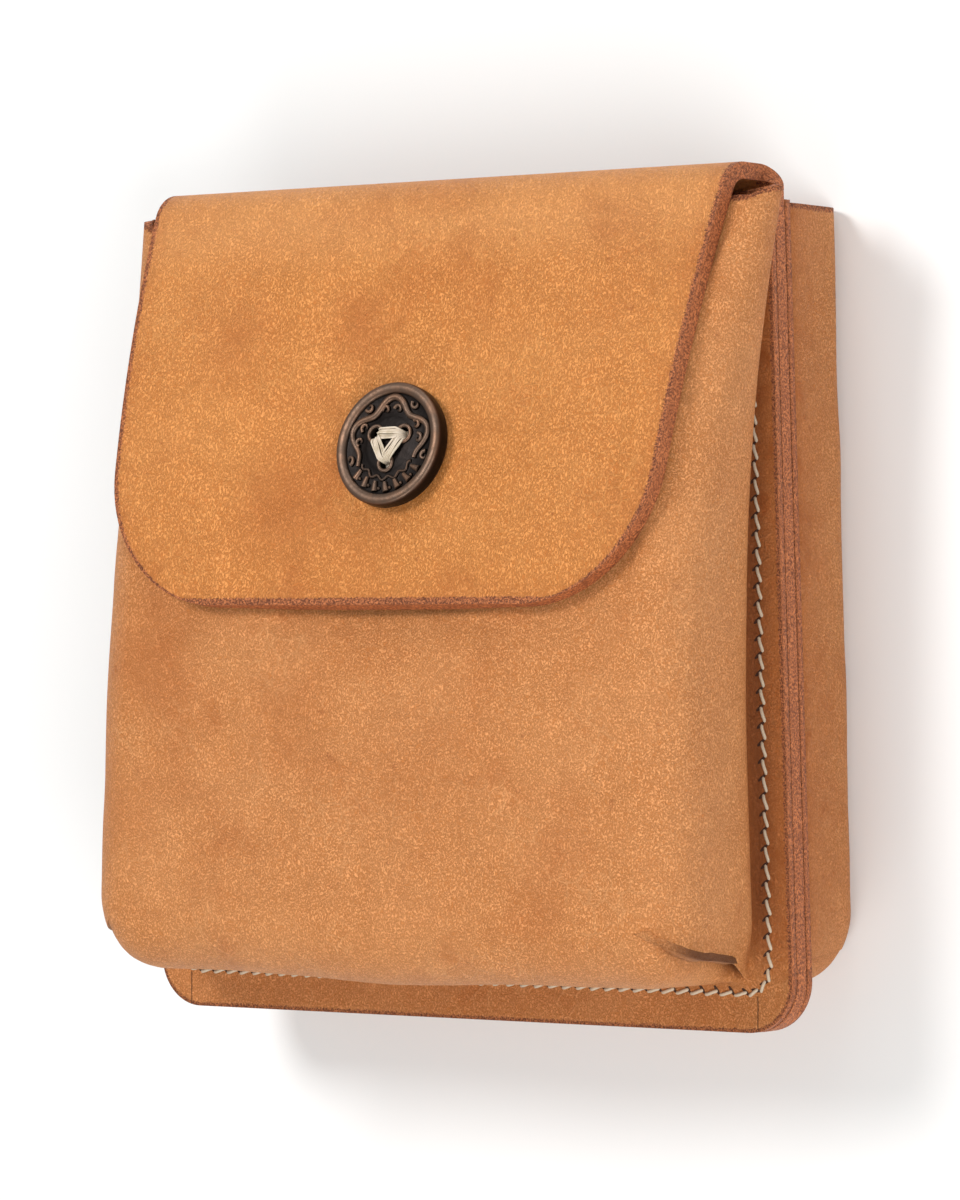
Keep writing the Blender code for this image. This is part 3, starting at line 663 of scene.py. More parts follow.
def grained(f, base, deep, pale, fine, pores, net):
    """The grain's own tones, with its net of pale lines and a painted highlight over the fold."""
    patches = f.noise(0.020, 3.0).ramp(0.44, 0.64)
    tone = f.blend(fine.ramp(0.39, 0.61), tint(base, 0.76, 0.66, 0.50), tint(base, 1.14, 1.20, 1.38))
    tone = f.blend(pores.ramp(0.54, 0.66) * 0.50, tone, deep)
    tone = f.blend(net * (0.14 + 0.14 * patches), tone, pale)
    tone = f.blend(patches * 0.10, tone, pale)
    # painted highlight over the fold: paler towards the top
    return f.blend(f.attribute("fold_highlight") * 0.35, tone, tint(base, 1.10, 1.34, 2.10))


def clouded(f, tone, deep, pale, blotches, vein):
    """Wide clouds, blotches and pits in the deep tone, and pale veins."""
    clouds = f.noise(0.028, 4.0, 0.62, 0.3).ramp(0.46, 0.78)
    pits = f.noise(0.0030, 2.0, 0.5).ramp(0.70, 0.78)
    tone = f.blend(clouds * 0.46, tone, deep)
    tone = f.blend(blotches * (0.16 + 0.34 * clouds), tone, deep)
    tone = f.blend(pits * 0.35, tone, tint(deep, 0.70, 0.60, 0.60))
    return f.blend(vein * 0.30, tone, pale)


def spotted(f, tone, deep, spots, fine):
    """Darker places, their outlines pushed about by a drift: the leather's own tone, and painted shade at
    the wide ones nearest the button and under the flap.
    """
    drift = 0.0060
    where = f.warped(EVEN, 0.008, drift)
    for x, u, w, radius, strength in spots:
        spot = f.spot(place(x, u, w) + Vector((drift, drift, drift)) / 2, radius, where)
        tone = f.blend(spot * (strength * (0.45 + 0.75 * fine)), tone, deep)
    return tone


def painted_shade_and_soil(f, tone, deep, blotches):
    """Painted shade low on the walls with the darker tone of the flange and rims, the painted shadow beside
    the seam and the painted shadow under a pleat.
    """
    # painted shade low on the walls, with the darker tone of the flange and rims
    tone = f.blend(f.attribute("shade_and_soil") * (0.62 + 0.40 * blotches), tone, deep)
    tone = f.blend(f.attribute("shaded") * 0.75, tone, tint(deep, 0.45, 0.38, 0.35))
    # painted shadow under the pleat
    return f.blend(f.attribute("pleat_shadow") * 0.80, tone, tint(deep, 0.20, 0.16, 0.16))


def jointed(f, tone, deep, joint):
    """Fine cut through the flange, at each side below the seam's corner."""
    seam = BASE + sizes().bottom_margin
    across = f.axis("X").math("ABSOLUTE") + 0.0004 * (f.noise(0.0012, 2.0) - 0.5)
    line = 1 - (across - joint).math("ABSOLUTE").ramp(0.00006, 0.00018)
    line = line * (1 - f.axis("Y").ramp(seam - 0.0007, seam - 0.0001))
    return f.blend(line * 0.9, tone, tint(deep, 0.10, 0.10, 0.12))


def fibres(f, amount):
    """Dark and pinkish fibres of a cut edge."""
    edge = tuple(colours().edge)
    return f.blend(amount, tint(edge, 0.50, 0.42, 0.40), tint(edge, 1.80, 1.75, 1.50))


def burnished(name):
    """Cut edge of leather, rubbed brown, with its fibres speckled dark and pinkish."""
    edge = tuple(colours().edge)
    f = Finish(name, edge, 0.5)
    fibre = f.noise(0.00045, 4.0, 0.75)
    blotch = f.noise(0.005, 3.0, 0.6).ramp(0.38, 0.68)
    tone = f.blend(blotch * 0.35, fibres(f, fibre.ramp(0.41, 0.60)), tint(edge, 0.85, 0.70, 0.60))
    f.set("Base Color", tone)
    f.set("Roughness", 0.46 + 0.25 * fibre)
    f.set("Normal", f.bump(fibre, 0.00024))
    f.set("Specular IOR Level", 0.25)
    return f.material


def plain(name, base, rough, metallic=0.0, size=0.0008, depth=0.00004):
    """Even material with a fine speckle."""
    f = Finish(name, base, rough, metallic)
    speckle = f.noise(size, 4.0, 0.65)
    f.set("Base Color", f.blend(speckle.ramp(0.35, 0.75) * 0.45, darker(base, 0.72), base))
    f.set("Roughness", rough + 0.2 * (speckle - 0.5))
    f.set("Normal", f.bump(speckle, depth))
    return f.material


def uneven(bm, base):
    """Let the moulded leather sway a little, more the further it stands off its flange."""
    s = sizes()
    bmesh.ops.remove_doubles(bm, verts=bm.verts, dist=1e-6)
    bm.normal_update()
    for vertex in bm.verts:
        off = smooth((abs(vertex.co.z - FRONT - base) - 0.001) / 0.012)
        wide = noise.noise(vertex.co * 38.0)
        fine = noise.noise(vertex.co * 110.0 + Vector((7.0, 3.0, 1.0)))
        vertex.co += vertex.normal * off * s.sway * (wide + 0.35 * fine)
        vertex.co.z = max(vertex.co.z, CAD_BOUNDS[0].z)


def store(obj, name, values):
    """Keep a value for each vertex for the finish to read."""
    layer = obj.data.attributes.new(name, "FLOAT", "POINT")
    layer.data.foreach_set("value", values)


def thicken(obj, thickness):
    """Give a sheet its thickness inwards, with the second material on the cut edges."""
    solid = obj.modifiers.new("leather", "SOLIDIFY")
    solid.thickness = thickness
    solid.offset = -1.0
    solid.use_even_offset = False
    solid.material_offset_rim = 1
    apply_all(obj)


class POUCH_OT_stage(bpy.types.Operator):
    """Set the camera, the lights and the floor"""

    bl_idname = "pouch.stage"
    bl_label = "Stage"

    def execute(self, context):
        scene = context.scene
        toward = Vector((sin(AZIMUTH), 0.0, cos(AZIMUTH)))
        right = Vector((cos(AZIMUTH), 0.0, -sin(AZIMUTH)))
        camera = bpy.data.cameras.new("camera")
        camera.sensor_fit = "VERTICAL"
        camera.sensor_height = SENSOR_HEIGHT
        camera.lens = FOCAL_PIXELS / PICTURE_HEIGHT * SENSOR_HEIGHT
        camera.clip_end = 20.0
        obj = bpy.data.objects.new("camera", camera)
        scene.collection.objects.link(obj)
        obj.location = place(0.0, HORIZON, 0.0) + toward * DISTANCE + right * SIDE_SHIFT
        pitch = atan2(HORIZON_DROP, FOCAL_PIXELS)
        look = (-toward * cos(pitch) + Vector((0, 1, 0)) * sin(pitch)).normalized()
        up = right.cross(look).normalized()
        axes = Matrix((right, up, -look)).transposed()
        obj.matrix_world = Matrix.Translation(obj.location) @ axes.to_4x4()
        scene.camera = obj

        world = bpy.data.worlds.new("studio")
        scene.world = world
        world.use_nodes = True
        background = world.node_tree.nodes["Background"]
        background.inputs["Color"].default_value = (1.0, 1.0, 1.0, 1.0)
        background.inputs["Strength"].default_value = SKY_STRENGTH
        for name, position, diameter, power in LAMPS:
            lamp(name, position, diameter, power)

        bpy.ops.object.select_all(action="DESELECT")
        bpy.ops.mesh.primitive_plane_add(size=FLOOR_SIZE, location=(0, 0, -FLOOR_DROP))
        floor = context.active_object
        floor.name = "floor"
        floor.data.materials.append(Finish("floor", tuple(colours().floor), 0.9).material)
        scene.view_settings.view_transform = "Standard"
        return {"FINISHED"}


def lamp(name, position, diameter, power):
    """Round area lamp that shines at the middle of the frame."""
    light = bpy.data.lights.new(name, "AREA")
    light.shape = "DISK"
    light.size = diameter
    light.energy = power
    obj = bpy.data.objects.new(name, light)
    bpy.context.scene.collection.objects.link(obj)
    obj.location = position
    obj.rotation_euler = Vector(position).to_track_quat("Z", "Y").to_euler()


def lay(bm, lines, levels, base_w, facing):
    """Vertices and faces of a grid of points, with their shadow and their level as attributes."""
    pleat_shadows = bm.verts.layers.float["pleat_shadow"]
    height = bm.verts.layers.float["level"]
    rows = []
    for line, level in zip(lines, levels):
        row = []
        for point, u in zip(line, level):
            vertex = bm.verts.new(place(point.x, point.y, base_w + point.z * facing))
            vertex[pleat_shadows] = point.w
            vertex[height] = u
            row.append(vertex)
        rows.append(row)
    quads(bm, rows)


def pocket(name, side, bottom, face, lip, folds, facing, base_w, shade_and_soil_start, shade_and_soil_reach):
    """One moulded pocket, folded and pleated, with its attributes for the finish, among them the painted
    shadow under its pleats.
    """
    s = sizes()
    bm = bmesh.new()
    bm.verts.layers.float.new("pleat_shadow")
    bm.verts.layers.float.new("level")
    rows, grid = pocket_sheet(side, bottom, face, lip, folds)
    lay(bm, rows, [[line[0].y] * len(line) for line in rows], base_w, facing)
    lay(bm, grid, [[point.y for point in line] for line in grid], base_w, facing)
    uneven(bm, base_w + facing * (s.gap + s.pocket))
    obj = new_object(name, bm, pocket_leather(), edge_leather())
    if facing * sum(polygon.normal.z * polygon.area for polygon in obj.data.polygons) < 0:
        obj.data.flip_normals()
    thicken(obj, s.pocket)
    for vertex in obj.data.vertices:
        vertex.co.z = max(vertex.co.z, CAD_BOUNDS[0].z)
    mark_pocket(obj, base_w, shade_and_soil_start, shade_and_soil_reach)
    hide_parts(name)
    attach(obj, "pouch")


def mark_pocket(obj, base_w, shade_and_soil_start, shade_and_soil_reach):
    """Keep where the cut edges, the painted shade low on the walls with the flange's darker tone, and the
    shadow beside the seam lie.
    """
    s = sizes()
    levels = obj.data.attributes["level"].data
    edge, shade_and_soil, shaded = [], [], []
    for vertex in obj.data.vertices:
        x, u = abs(vertex.co.x), vertex.co.y - BASE
        off = abs(vertex.co.z - FRONT - base_w) - s.gap - s.pocket
        above = u - s.bottom_margin
        rim = s.mouth - levels[vertex.index].value
        if off < 0.0004:
            rim = min(rim, 1.5 * panel_rim(x, u))
        edge.append(1.0 - smooth(rim / 0.0026))
        # painted shade in the recess low on the walls, full on the flange, where it also stands for the
        # flange's darker tone; less of it on the lower flange
        low = 1.0 - smooth((off - shade_and_soil_start) / shade_and_soil_reach)
        shade_and_soil.append(low * mix(0.30, 1.0, smooth(above / 0.012)))
        beside = exp(-((x - seam_half(u) + s.set_in) / 0.0032) ** 2) * smooth(above / 0.02)
        shaded.append(beside * (1.0 - smooth(off / 0.008)))
    store(obj, "edge", edge)
    store(obj, "shade_and_soil", shade_and_soil)
    store(obj, "shaded", shaded)


def pocket_leather():
    if "pocket" not in FINISHES:
        base = tuple(colours().pocket)
        FINISHES["pocket"] = leather("pocket_leather_finish", base, grain=0.00031, stretch=(1.0, 0.75, 1.0),
                                     veins=0.0042, rough=0.56, spots=POCKET_SPOTS, joint=sizes().joint)
    return FINISHES["pocket"]


def panel_leather():
    if "panel" not in FINISHES:
        base = tuple(colours().flap)
        FINISHES["panel"] = leather("flap_leather_finish", base, grain=0.00033, stretch=(1.0, 0.55, 1.0),
                                    veins=0.0030, rough=0.50, spots=FLAP_SPOTS)
    return FINISHES["panel"]


def edge_leather():
    if "edge" not in FINISHES:
        FINISHES["edge"] = burnished("burnished_edge_finish")
    return FINISHES["edge"]


class POUCH_OT_pockets(bpy.types.Operator):
    """Mould the front and the rear pocket"""

    bl_idname = "pouch.pockets"
    bl_label = "Pockets"

    def execute(self, context):
        s = sizes()
        pocket("front_pocket", front_side, front_bottom, front_face, lip=s.lip, folds=(s.flat_fold, 1.0),
               facing=1, base_w=0.0, shade_and_soil_start=0.001, shade_and_soil_reach=0.009)
        pocket("rear_pocket", rear_side, rear_bottom, rear_face, lip=0.0, folds=(s.flat_fold / 2,) * 2,
               facing=-1, base_w=-s.panel, shade_and_soil_start=0.005, shade_and_soil_reach=0.010)
        return {"FINISHED"}


def flap_half(u):
    """Half width of the flap with its round lower corners."""
    s = sizes()
    half = mix(s.flap_bottom, s.flap_top, (u - s.flap_edge) / (s.mouth - s.flap_edge)) / 2
    drop = s.flap_edge + s.flap_corner - u
    if drop > 0:
        half -= s.flap_corner - sqrt(max(0.0, s.flap_corner ** 2 - drop ** 2))
    return half


def hinge_height():
    s = sizes()
    return s.height - s.fold_back - s.run_in


def spans():
    """Columns across a sheet, from -1 at the left to 1 at the right."""
    return [2 * c / SHEET_COLUMNS - 1 for c in range(SHEET_COLUMNS + 1)]


def flap_lines():
    """Outer face of the flap, line by line from the hinge over the fold to its lower edge."""
    s = sizes()
    hinge = hinge_height()
    start_half = panel_half(hinge)
    top_half = flap_half(hinge)
    lines = [[Vector((start_half * k, hinge, -s.panel)) for k in spans()]]
    for i in range(BACK_FOLD_STEPS + 1):
        angle = pi - pi / 2 * i / BACK_FOLD_STEPS
        half = mix(start_half, top_half, smooth(i / BACK_FOLD_STEPS))
        u = hinge + s.run_in + s.fold_back * sin(angle)
        w = s.fold_back - s.panel + s.fold_back * cos(angle)
        lines.append([Vector((half * k, u, w)) for k in spans()])
    slope = flap_lean(s.mouth)
    end_u = s.height - s.fold_front * (1 - sin(slope))
    centre_w = flap_face(1.0, end_u) - s.fold_front * cos(slope)
    for i in range(FRONT_FOLD_STEPS + 1):
        angle = mix(pi / 2, slope, i / FRONT_FOLD_STEPS)
        u = s.height - s.fold_front * (1 - sin(angle))
        w = centre_w + s.fold_front * cos(angle)
        lines.append([Vector((top_half * k, u, w)) for k in spans()])
    corner_top = s.flap_edge + s.flap_corner
    turns_down = [pi / 2 * i / FLAP_CORNER_STEPS for i in range(1, FLAP_CORNER_STEPS + 1)]
    heights = [mix(end_u, corner_top, i / FLAP_RUN_STEPS) for i in range(1, FLAP_RUN_STEPS + 1)]
    heights += [corner_top - s.flap_corner * sin(turn) for turn in turns_down]
    for u in heights:
        half = flap_half(u)
        lines.append([Vector((half * k, u, flap_face(half * k, u))) for k in spans()])
    return lines


def panel_outline(u):
    """Half width of the panel with its round lower corners."""
    r = sizes().panel_corner
    return panel_half(u) - r + sqrt(r ** 2 - max(0.0, r - u) ** 2)


def panel_lines():
    """Back face of the panel, line by line from its lower edge almost to the hinge."""
    s = sizes()
    r = s.panel_corner
    top = hinge_height() - s.hinge_gap
    turns_up = [pi / 2 * i / PANEL_CORNER_STEPS for i in range(PANEL_CORNER_STEPS + 1)]
    heights = [r - r * cos(turn) for turn in turns_up]
    heights += [mix(r, top, i / PANEL_RUN_STEPS) for i in range(1, PANEL_RUN_STEPS + 1)]
    return [[Vector((panel_outline(u) * k, u, -s.panel)) for k in spans()] for u in heights]


def round_rim(obj, width):
    """Round the cut edges but leave them square at the hinge, where flap and panel are one sheet."""
    bm = bmesh.new()
    bm.from_mesh(obj.data)
    hinge = hinge_height() + BASE
    weights = []
    for edge in bm.edges:
        at_hinge = all(abs(v.co.y - hinge) < 0.0001 and v.co.z < FRONT + 0.001 for v in edge.verts)
        weights.append(0.0 if at_hinge or edge.calc_face_angle(0.0) < 1.0 else 1.0)
    bm.free()
    obj.data.attributes.new("bevel_weight_edge", "FLOAT", "EDGE").data.foreach_set("value", weights)
    rounded = obj.modifiers.new("edge", "BEVEL")
    rounded.width = width
    rounded.segments = 4
    rounded.limit_method = "WEIGHT"
    apply_all(obj)


def thick_sheet(name, body, lines, thickness, rim_of):
    """Thick leather with rounded, burnished edges. The lines start on the sheet's back."""
    bm = bmesh.new()
    quads(bm, [[bm.verts.new(place(*p)) for p in line] for line in lines])
    obj = new_object(name, bm, panel_leather(), edge_leather())
    if obj.data.polygons[0].normal.z > 0:
        obj.data.flip_normals()
    thicken(obj, thickness)
    round_rim(obj, sizes().edge_round)
    choose(obj)
    bpy.ops.object.shade_smooth_by_angle(angle=radians(50))
    rims = [rim_of(abs(vertex.co.x), vertex.co.y - BASE) for vertex in obj.data.vertices]
    store(obj, "edge", [1.0 - smooth((rim - 0.0006) / 0.0016) for rim in rims])
    # darker towards the cut edge of the thick leather
    store(obj, "shade_and_soil", [0.35 * (1.0 - smooth((rim - 0.001) / 0.006)) for rim in rims])
    # painted highlight over the fold, towards the top of the sheet
    store(obj, "fold_highlight", [smooth((vertex.co.y - BASE - 0.147) / 0.012) for vertex in obj.data.vertices])
    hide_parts(name)
    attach(obj, body)


def flap_rim(x, u):
    """How far a point of the flap is from its cut edge."""
    side = flap_half(u) - x
    return min(side, u - sizes().flap_edge) if u < hinge_height() - 0.002 else side


def panel_rim(x, u):
    """How far a point of the panel is from its cut edge."""
    r = sizes().panel_corner
    inner = panel_half(u) - r
    if u < r and x > inner:
        return r - sqrt((x - inner) ** 2 + (r - u) ** 2)
    return min(panel_half(u) - x, u)


class POUCH_OT_flap(bpy.types.Operator):
    """Cut and fold the flap with its centre panel"""

    bl_idname = "pouch.flap"
    bl_label = "Flap and panel"

    def execute(self, context):
        s = sizes()
        thick_sheet("centre_panel", "pouch", panel_lines(), s.panel, panel_rim)
        thick_sheet("flap", "flap", flap_lines(), s.flap, flap_rim)
        return {"FINISHED"}


def seam_path():
    """Points a stitch apart along the whole seam, from the left mouth round to the right one."""
    s = sizes()
    radius = s.seam_corner
    centre_u = s.bottom_margin + radius
    centre_x = seam_half(centre_u) - radius
    top = s.mouth - s.stitch
    flat = round(centre_x / s.stitch)
    rise = round((top - centre_u) / s.stitch)
    half = [(centre_x * i / flat, s.bottom_margin) for i in range(flat + 1)]
    half += [(centre_x + radius * sin(a), centre_u - radius * cos(a)) for a in (pi / 6, pi / 3)]
    heights = [mix(centre_u, top, i / rise) for i in range(rise + 1)]
    half += [(seam_half(u), u) for u in heights]
    return [Vector((-x, u, 0)) for x, u in half[:0:-1]] + [Vector((x, u, 0)) for x, u in half]


def skin(bm, rings):
    """Closed tube through rings of points."""
    rows = []
    for ring in rings:
        corners = [bm.verts.new(point) for point in ring]
        rows.append(corners + corners[:1])
    quads(bm, rows)
    bm.faces.new(rows[0][:-1])
    bm.faces.new(rows[-1][:-1])


def round_steps(count):
    """Angles of a full turn in equal steps."""
    return [2 * pi * k / count for k in range(count)]


def tube(bm, path, width, height, sides):
    """Closed tube along a path, flattened, with its own across direction kept level."""
    rings = []
    last = len(path) - 1
    for i, point in enumerate(path):
        along = (path[min(i + 1, last)] - path[max(i - 1, 0)]).normalized()
        across = along.cross(Vector((0, 0, 1))).normalized()
        up = across.cross(along)
        across, up = across * width / 2, up * height / 2
        rings.append([point + across * cos(a) + up * sin(a) for a in round_steps(sides)])
    skin(bm, rings)


def stitches(name, facing, base_w):
    """Saddle stitches, each from the outer side of one hole to the inner side of the next."""
    s = sizes()
    seat = s.gap + s.pocket
    sunk = 0.0004
    arch = 0.00062
    bend = 0.00012
    steps = 8
    points = seam_path()
    bm = bmesh.new()
    holes = bmesh.new()
    for i, (start, end) in enumerate(zip(points, points[1:])):
        along = (end - start).normalized()
        out = Vector((along.y, -along.x, 0))
        wander = noise.noise(Vector((i * 1.7, 4.0, facing)))
        slant = s.thread * (0.42 + 0.12 * wander)
        path = []
        for k in range(steps + 1):
            bow = sin(pi * k / steps)
            across = out * (slant * cos(pi * k / steps) + bend * bow)
            lift = seat - sunk + (arch + 0.00008 * wander) * bow ** 0.6
            spot = start.lerp(end, mix(0.02, 0.98, k / steps)) + across
            path.append(place(spot.x, spot.y, base_w + lift * facing))
        tube(bm, path, s.thread * (0.80 + 0.08 * wander), s.thread * 0.62, 8)
        if i:
            awl_slit(holes, start, along, out, base_w + (seat + 0.00005) * facing)
    obj = new_object(name, bm, thread_finish())
    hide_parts(name)
    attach(obj, "pouch")
    slits = new_object(f"{name}_holes", holes, hole_shade())
    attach(slits, "pouch")


def awl_slit(bm, spot, along, out, w):
    """Slanted cut that the awl leaves between two stitches, a flat sheet in painted shade for the dark
    inside the hole.
    """
    half_length = 0.00115
    half_width = 0.00036
    inward = 0.00060
    lie = (along * 0.75 + out).normalized()
    wide = Vector((lie.y, -lie.x, 0))
    ring = []
    for a in round_steps(10):
        point = spot + lie * (half_length * cos(a) - inward) + wide * half_width * sin(a)
        ring.append(bm.verts.new(place(point.x, point.y, w)))
    bm.faces.new(ring)


class POUCH_OT_stitches(bpy.types.Operator):
    """Sew both pockets to the panel"""

    bl_idname = "pouch.stitches"
    bl_label = "Stitches"

    def execute(self, context):
        stitches("front_stitching", 1, 0.0)
        stitches("rear_stitching", -1, -sizes().panel)
        return {"FINISHED"}


def thread_finish():
    return plain("thread_finish", tuple(colours().thread), 0.62, size=0.0003, depth=0.00006)


def hole_shade():
    # near-black flat sheet: painted shade inside the awl holes
    return plain("painted_hole_shade_finish", (0.075, 0.028, 0.012), 0.8)


def flap_lean(u):
    """Angle by which the flap leans back at a height."""
    s = sizes()
    return atan(2 * (s.front_depth - s.front_mouth_depth) * (u - s.belly) / (s.mouth - s.belly) ** 2)


def button_place():
    """Where the button stands: its own axes in the frame."""
    s = sizes()
    tilt = -flap_lean(s.button_height)
    turn = Matrix.Rotation(tilt, 4, "X")
    seat = place(s.button_offset, s.button_height, flap_face(s.button_offset, s.button_height))
    return Matrix.Translation(seat + turn.to_3x3() @ Vector((0, 0, s.gap))) @ turn


def hole_angles():
    """Where the three holes stand: two above and one below."""
    return [radians(a) for a in (150, 270, 30)]


def spun(name, profile, steps):
    """Turned piece: a vertex drawn out along its profile, then spun round the axis."""
    bpy.ops.object.select_all(action="DESELECT")
    bpy.ops.mesh.primitive_plane_add(size=0.001, location=(0, 0, 0))
    obj = bpy.context.active_object
    obj.name = name
    bpy.ops.object.mode_set(mode="EDIT")
    bpy.ops.mesh.select_all(action="SELECT")
    bpy.ops.mesh.merge(type="CENTER")
    bpy.ops.transform.translate(value=(profile[0][0], 0, profile[0][1]))
    for (r0, z0), (r1, z1) in zip(profile, profile[1:]):
        bpy.ops.mesh.extrude_region_move(TRANSFORM_OT_translate={"value": (r1 - r0, 0, z1 - z0)})
    bpy.ops.mesh.select_all(action="SELECT")
    bpy.ops.mesh.spin(steps=steps, angle=2 * pi, center=(0, 0, 0), axis=(0, 0, 1))
    bpy.ops.mesh.select_all(action="SELECT")
    bpy.ops.mesh.remove_doubles(threshold=1e-6)
    bpy.ops.mesh.normals_make_consistent(inside=False)
    bpy.ops.object.mode_set(mode="OBJECT")
    return obj


def ridge(name, points, thickness):
    """Raised line of the relief, half sunk in the button's floor."""
    bpy.ops.object.select_all(action="DESELECT")
    bpy.ops.curve.primitive_nurbs_path_add(location=(0, 0, 0))
    obj = bpy.context.active_object
    obj.name = name
    spline = obj.data.splines[0]
    spline.points.add(len(points) - len(spline.points))
    spline.use_endpoint_u = True
    for point, (x, y, z, width) in zip(spline.points, points):
        point.co = (x, y, z, 1.0)
        point.radius = width
    obj.data.bevel_depth = thickness
    obj.data.bevel_resolution = 3
    obj.data.resolution_u = 6
    obj.data.use_fill_caps = True
    bpy.ops.object.convert(target="MESH")
    return bpy.context.active_object


def join(name, pieces):
    """Make one object of several."""
    bpy.ops.object.select_all(action="DESELECT")
    for piece in pieces:
        piece.select_set(True)
    bpy.context.view_layer.objects.active = pieces[0]
    bpy.ops.object.join()
    pieces[0].name = name
    return pieces[0]


def settle(obj, matrix):
    """Put a finished piece in its place, with the place kept in its mesh."""
    obj.data.transform(matrix @ obj.matrix_world)
    obj.matrix_world = Matrix.Identity(4)
    obj.data.update()


def scroll(radius, start, sweep, middle, floor):
    """One tendril that curls up into a spiral."""
    last = 19
    points = []
    for k in range(last + 1):
        f = k / last
        turn = start + sweep * f
        curl = radius * (1 - 0.80 * f)
        height = 0.0003 * (0.4 + 0.6 * sin(pi * min(1.0, f + 0.15)))
        x = middle[0] + curl * cos(turn)
        y = middle[1] + curl * sin(turn)
        points.append((x, y, floor + height, 1.1 - 0.5 * f))
    return ridge("scroll", points, 0.00042)


def waved(turns_round, phases, radius, swing, height, width, swell, last):
    """Points of a line that winds in and out on its way round the button, its angles in degrees."""
    points = []
    for k in range(last + 1):
        angle = radians(mix(*turns_round, k / last))
        out = radius + swing * sin(radians(mix(*phases, k / last)))
        points.append((out * cos(angle), out * sin(angle), height, width + swell * sin(pi * k / last)))
    return points


def relief(floor):
    """Scrolls, a winding band, bars and a beaded wave between the holes and the rim."""
    band = waved((-24, 214), (-120, 1070), 0.00830, 0.00120, floor + 0.0002, 0.70, 0.35, 71)
    pieces = [ridge("band", band, 0.00072)]
    for k in range(10):
        angle = radians(24 * k - 16)
        inside = sin(5 * angle) > 0
        far = 0.00705 if inside else 0.00945
        middle = (far * cos(angle), far * sin(angle))
        pieces.append(scroll(0.00100, angle + pi / 2, -5.4 if inside else 5.4, middle, floor))
    first_bar, bar_pitch, bars = 222, 17, 7
    for k in range(bars):
        start = radians(first_bar + bar_pitch * k)
        bar = []
        for f in (0, 0.25, 0.5, 0.75, 1.0):
            radius = mix(0.0078, 0.0098, f)
            angle = start + 0.06 * f
            bar.append((radius * cos(angle), radius * sin(angle), floor + 0.00014, 1.0 + 0.6 * f))
        pieces.append(ridge("bar", bar, 0.00048))
    wave = waved((216, 330), (0, 1800), 0.00700, 0.00040, floor + 0.00012, 1.0, 0.0, 59)
    pieces.append(ridge("wave", wave, 0.00034))
    bead_circle = 0.0091
    for k in range(bars - 1):
        angle = radians(first_bar + bar_pitch * (k + 0.5))
        at = (bead_circle * cos(angle), bead_circle * sin(angle), floor + 0.0001)
        bpy.ops.object.select_all(action="DESELECT")
        bpy.ops.mesh.primitive_uv_sphere_add(segments=16, ring_count=10, radius=0.00042, location=at)
        pieces.append(bpy.context.active_object)
    return pieces


class POUCH_OT_button(bpy.types.Operator):
    """Cast the button with its relief"""

    bl_idname = "pouch.button"
    bl_label = "Button"

    def execute(self, context):
        s = sizes()
        edge = s.button / 2
        thick = s.button_thick
        floor = thick - s.button_recess
        inner = edge - s.button_rim
        collar = s.hole_circle + s.hole + 0.0004
        profile = [(0.0, 0.0), (edge - 0.0010, 0.0), (edge - 0.0003, 0.0004)]
        profile += [(edge, 0.0011), (edge, 0.0021)]
        for a in [radians(d) for d in (0, 25, 50, 75)]:
            profile.append((edge - 0.0006 + 0.0006 * cos(a), thick - 0.0012 + 0.0011 * sin(a)))
        profile += [(edge - 0.0011, thick), (inner + 0.0003, thick - 0.0002), (inner, thick - 0.0005)]
        profile += [(inner - 0.0001, floor + 0.0001), (inner - 0.0004, floor), (collar + 0.0003, floor)]
        profile += [(collar, floor + 0.0001), (collar - 0.0006, floor + 0.0002), (0.0, floor + 0.0002)]
        body = spun("button", profile, 96)
        pieces = relief(floor)
        for a in hole_angles():
            x, y = s.hole_circle * cos(a), s.hole_circle * sin(a)
            bpy.ops.object.select_all(action="DESELECT")
            bpy.ops.mesh.primitive_torus_add(location=(x, y, floor + 0.00035), major_segments=40,
                                             minor_segments=10, major_radius=s.hole + 0.00035,
                                             minor_radius=0.00040)
            pieces.append(context.active_object)
            bore(body, (x, y, thick / 2), s.hole, thick * 2)
        whole = join("button", [body] + pieces)
        bpy.ops.object.mode_set(mode="EDIT")
        bpy.ops.mesh.select_all(action="SELECT")
        bpy.ops.mesh.normals_make_consistent(inside=False)
        bpy.ops.object.mode_set(mode="OBJECT")
        bpy.ops.object.shade_smooth_by_angle(angle=radians(50))
        depth = [v.co.z for v in whole.data.vertices]
        store(whole, "hollow", [1.0 - smooth((z - floor - 0.00022) / 0.0005) for z in depth])
        settle(whole, button_place())
        whole.data.materials.clear()
        whole.data.materials.append(bronze())
        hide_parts("button")
        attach(whole, "flap")
        return {"FINISHED"}


def bore(obj, where, radius, depth):
    """Drill a round hole through a piece."""
    bpy.ops.object.select_all(action="DESELECT")
    bpy.ops.mesh.primitive_cylinder_add(vertices=40, radius=radius, depth=depth, location=where)
    drill = bpy.context.active_object
    cut = obj.modifiers.new("bore", "BOOLEAN")
    cut.object = drill
    cut.operation = "DIFFERENCE"
    choose(obj)
    bpy.ops.object.modifier_apply(modifier="bore")
    bpy.data.objects.remove(drill, do_unlink=True)


def bronze():
    """Dark cast bronze: nearly black in its hollows, rubbed bare where it stands out."""
    c = colours()
    f = Finish("aged_bronze_finish", tuple(c.bronze), 0.38, 0.85)
    cast = f.noise(0.0011, 4.0, 0.6)
    warm = f.noise(0.004, 2.0).ramp(0.45, 0.65)
    tone = f.blend(warm * 0.5, tuple(c.bronze), (0.230, 0.120, 0.070))
    tone = f.blend(cast.ramp(0.5, 0.8) * 0.5, tone, darker(tuple(c.bronze), 0.4))
    tone = f.blend(f.attribute("hollow") * 0.96, tone, (0.006, 0.005, 0.005))
    f.set("Base Color", tone)
    f.set("Roughness", 0.34 + 0.25 * cast)
    f.set("Normal", f.bump(cast, 0.00008))
    return f.material


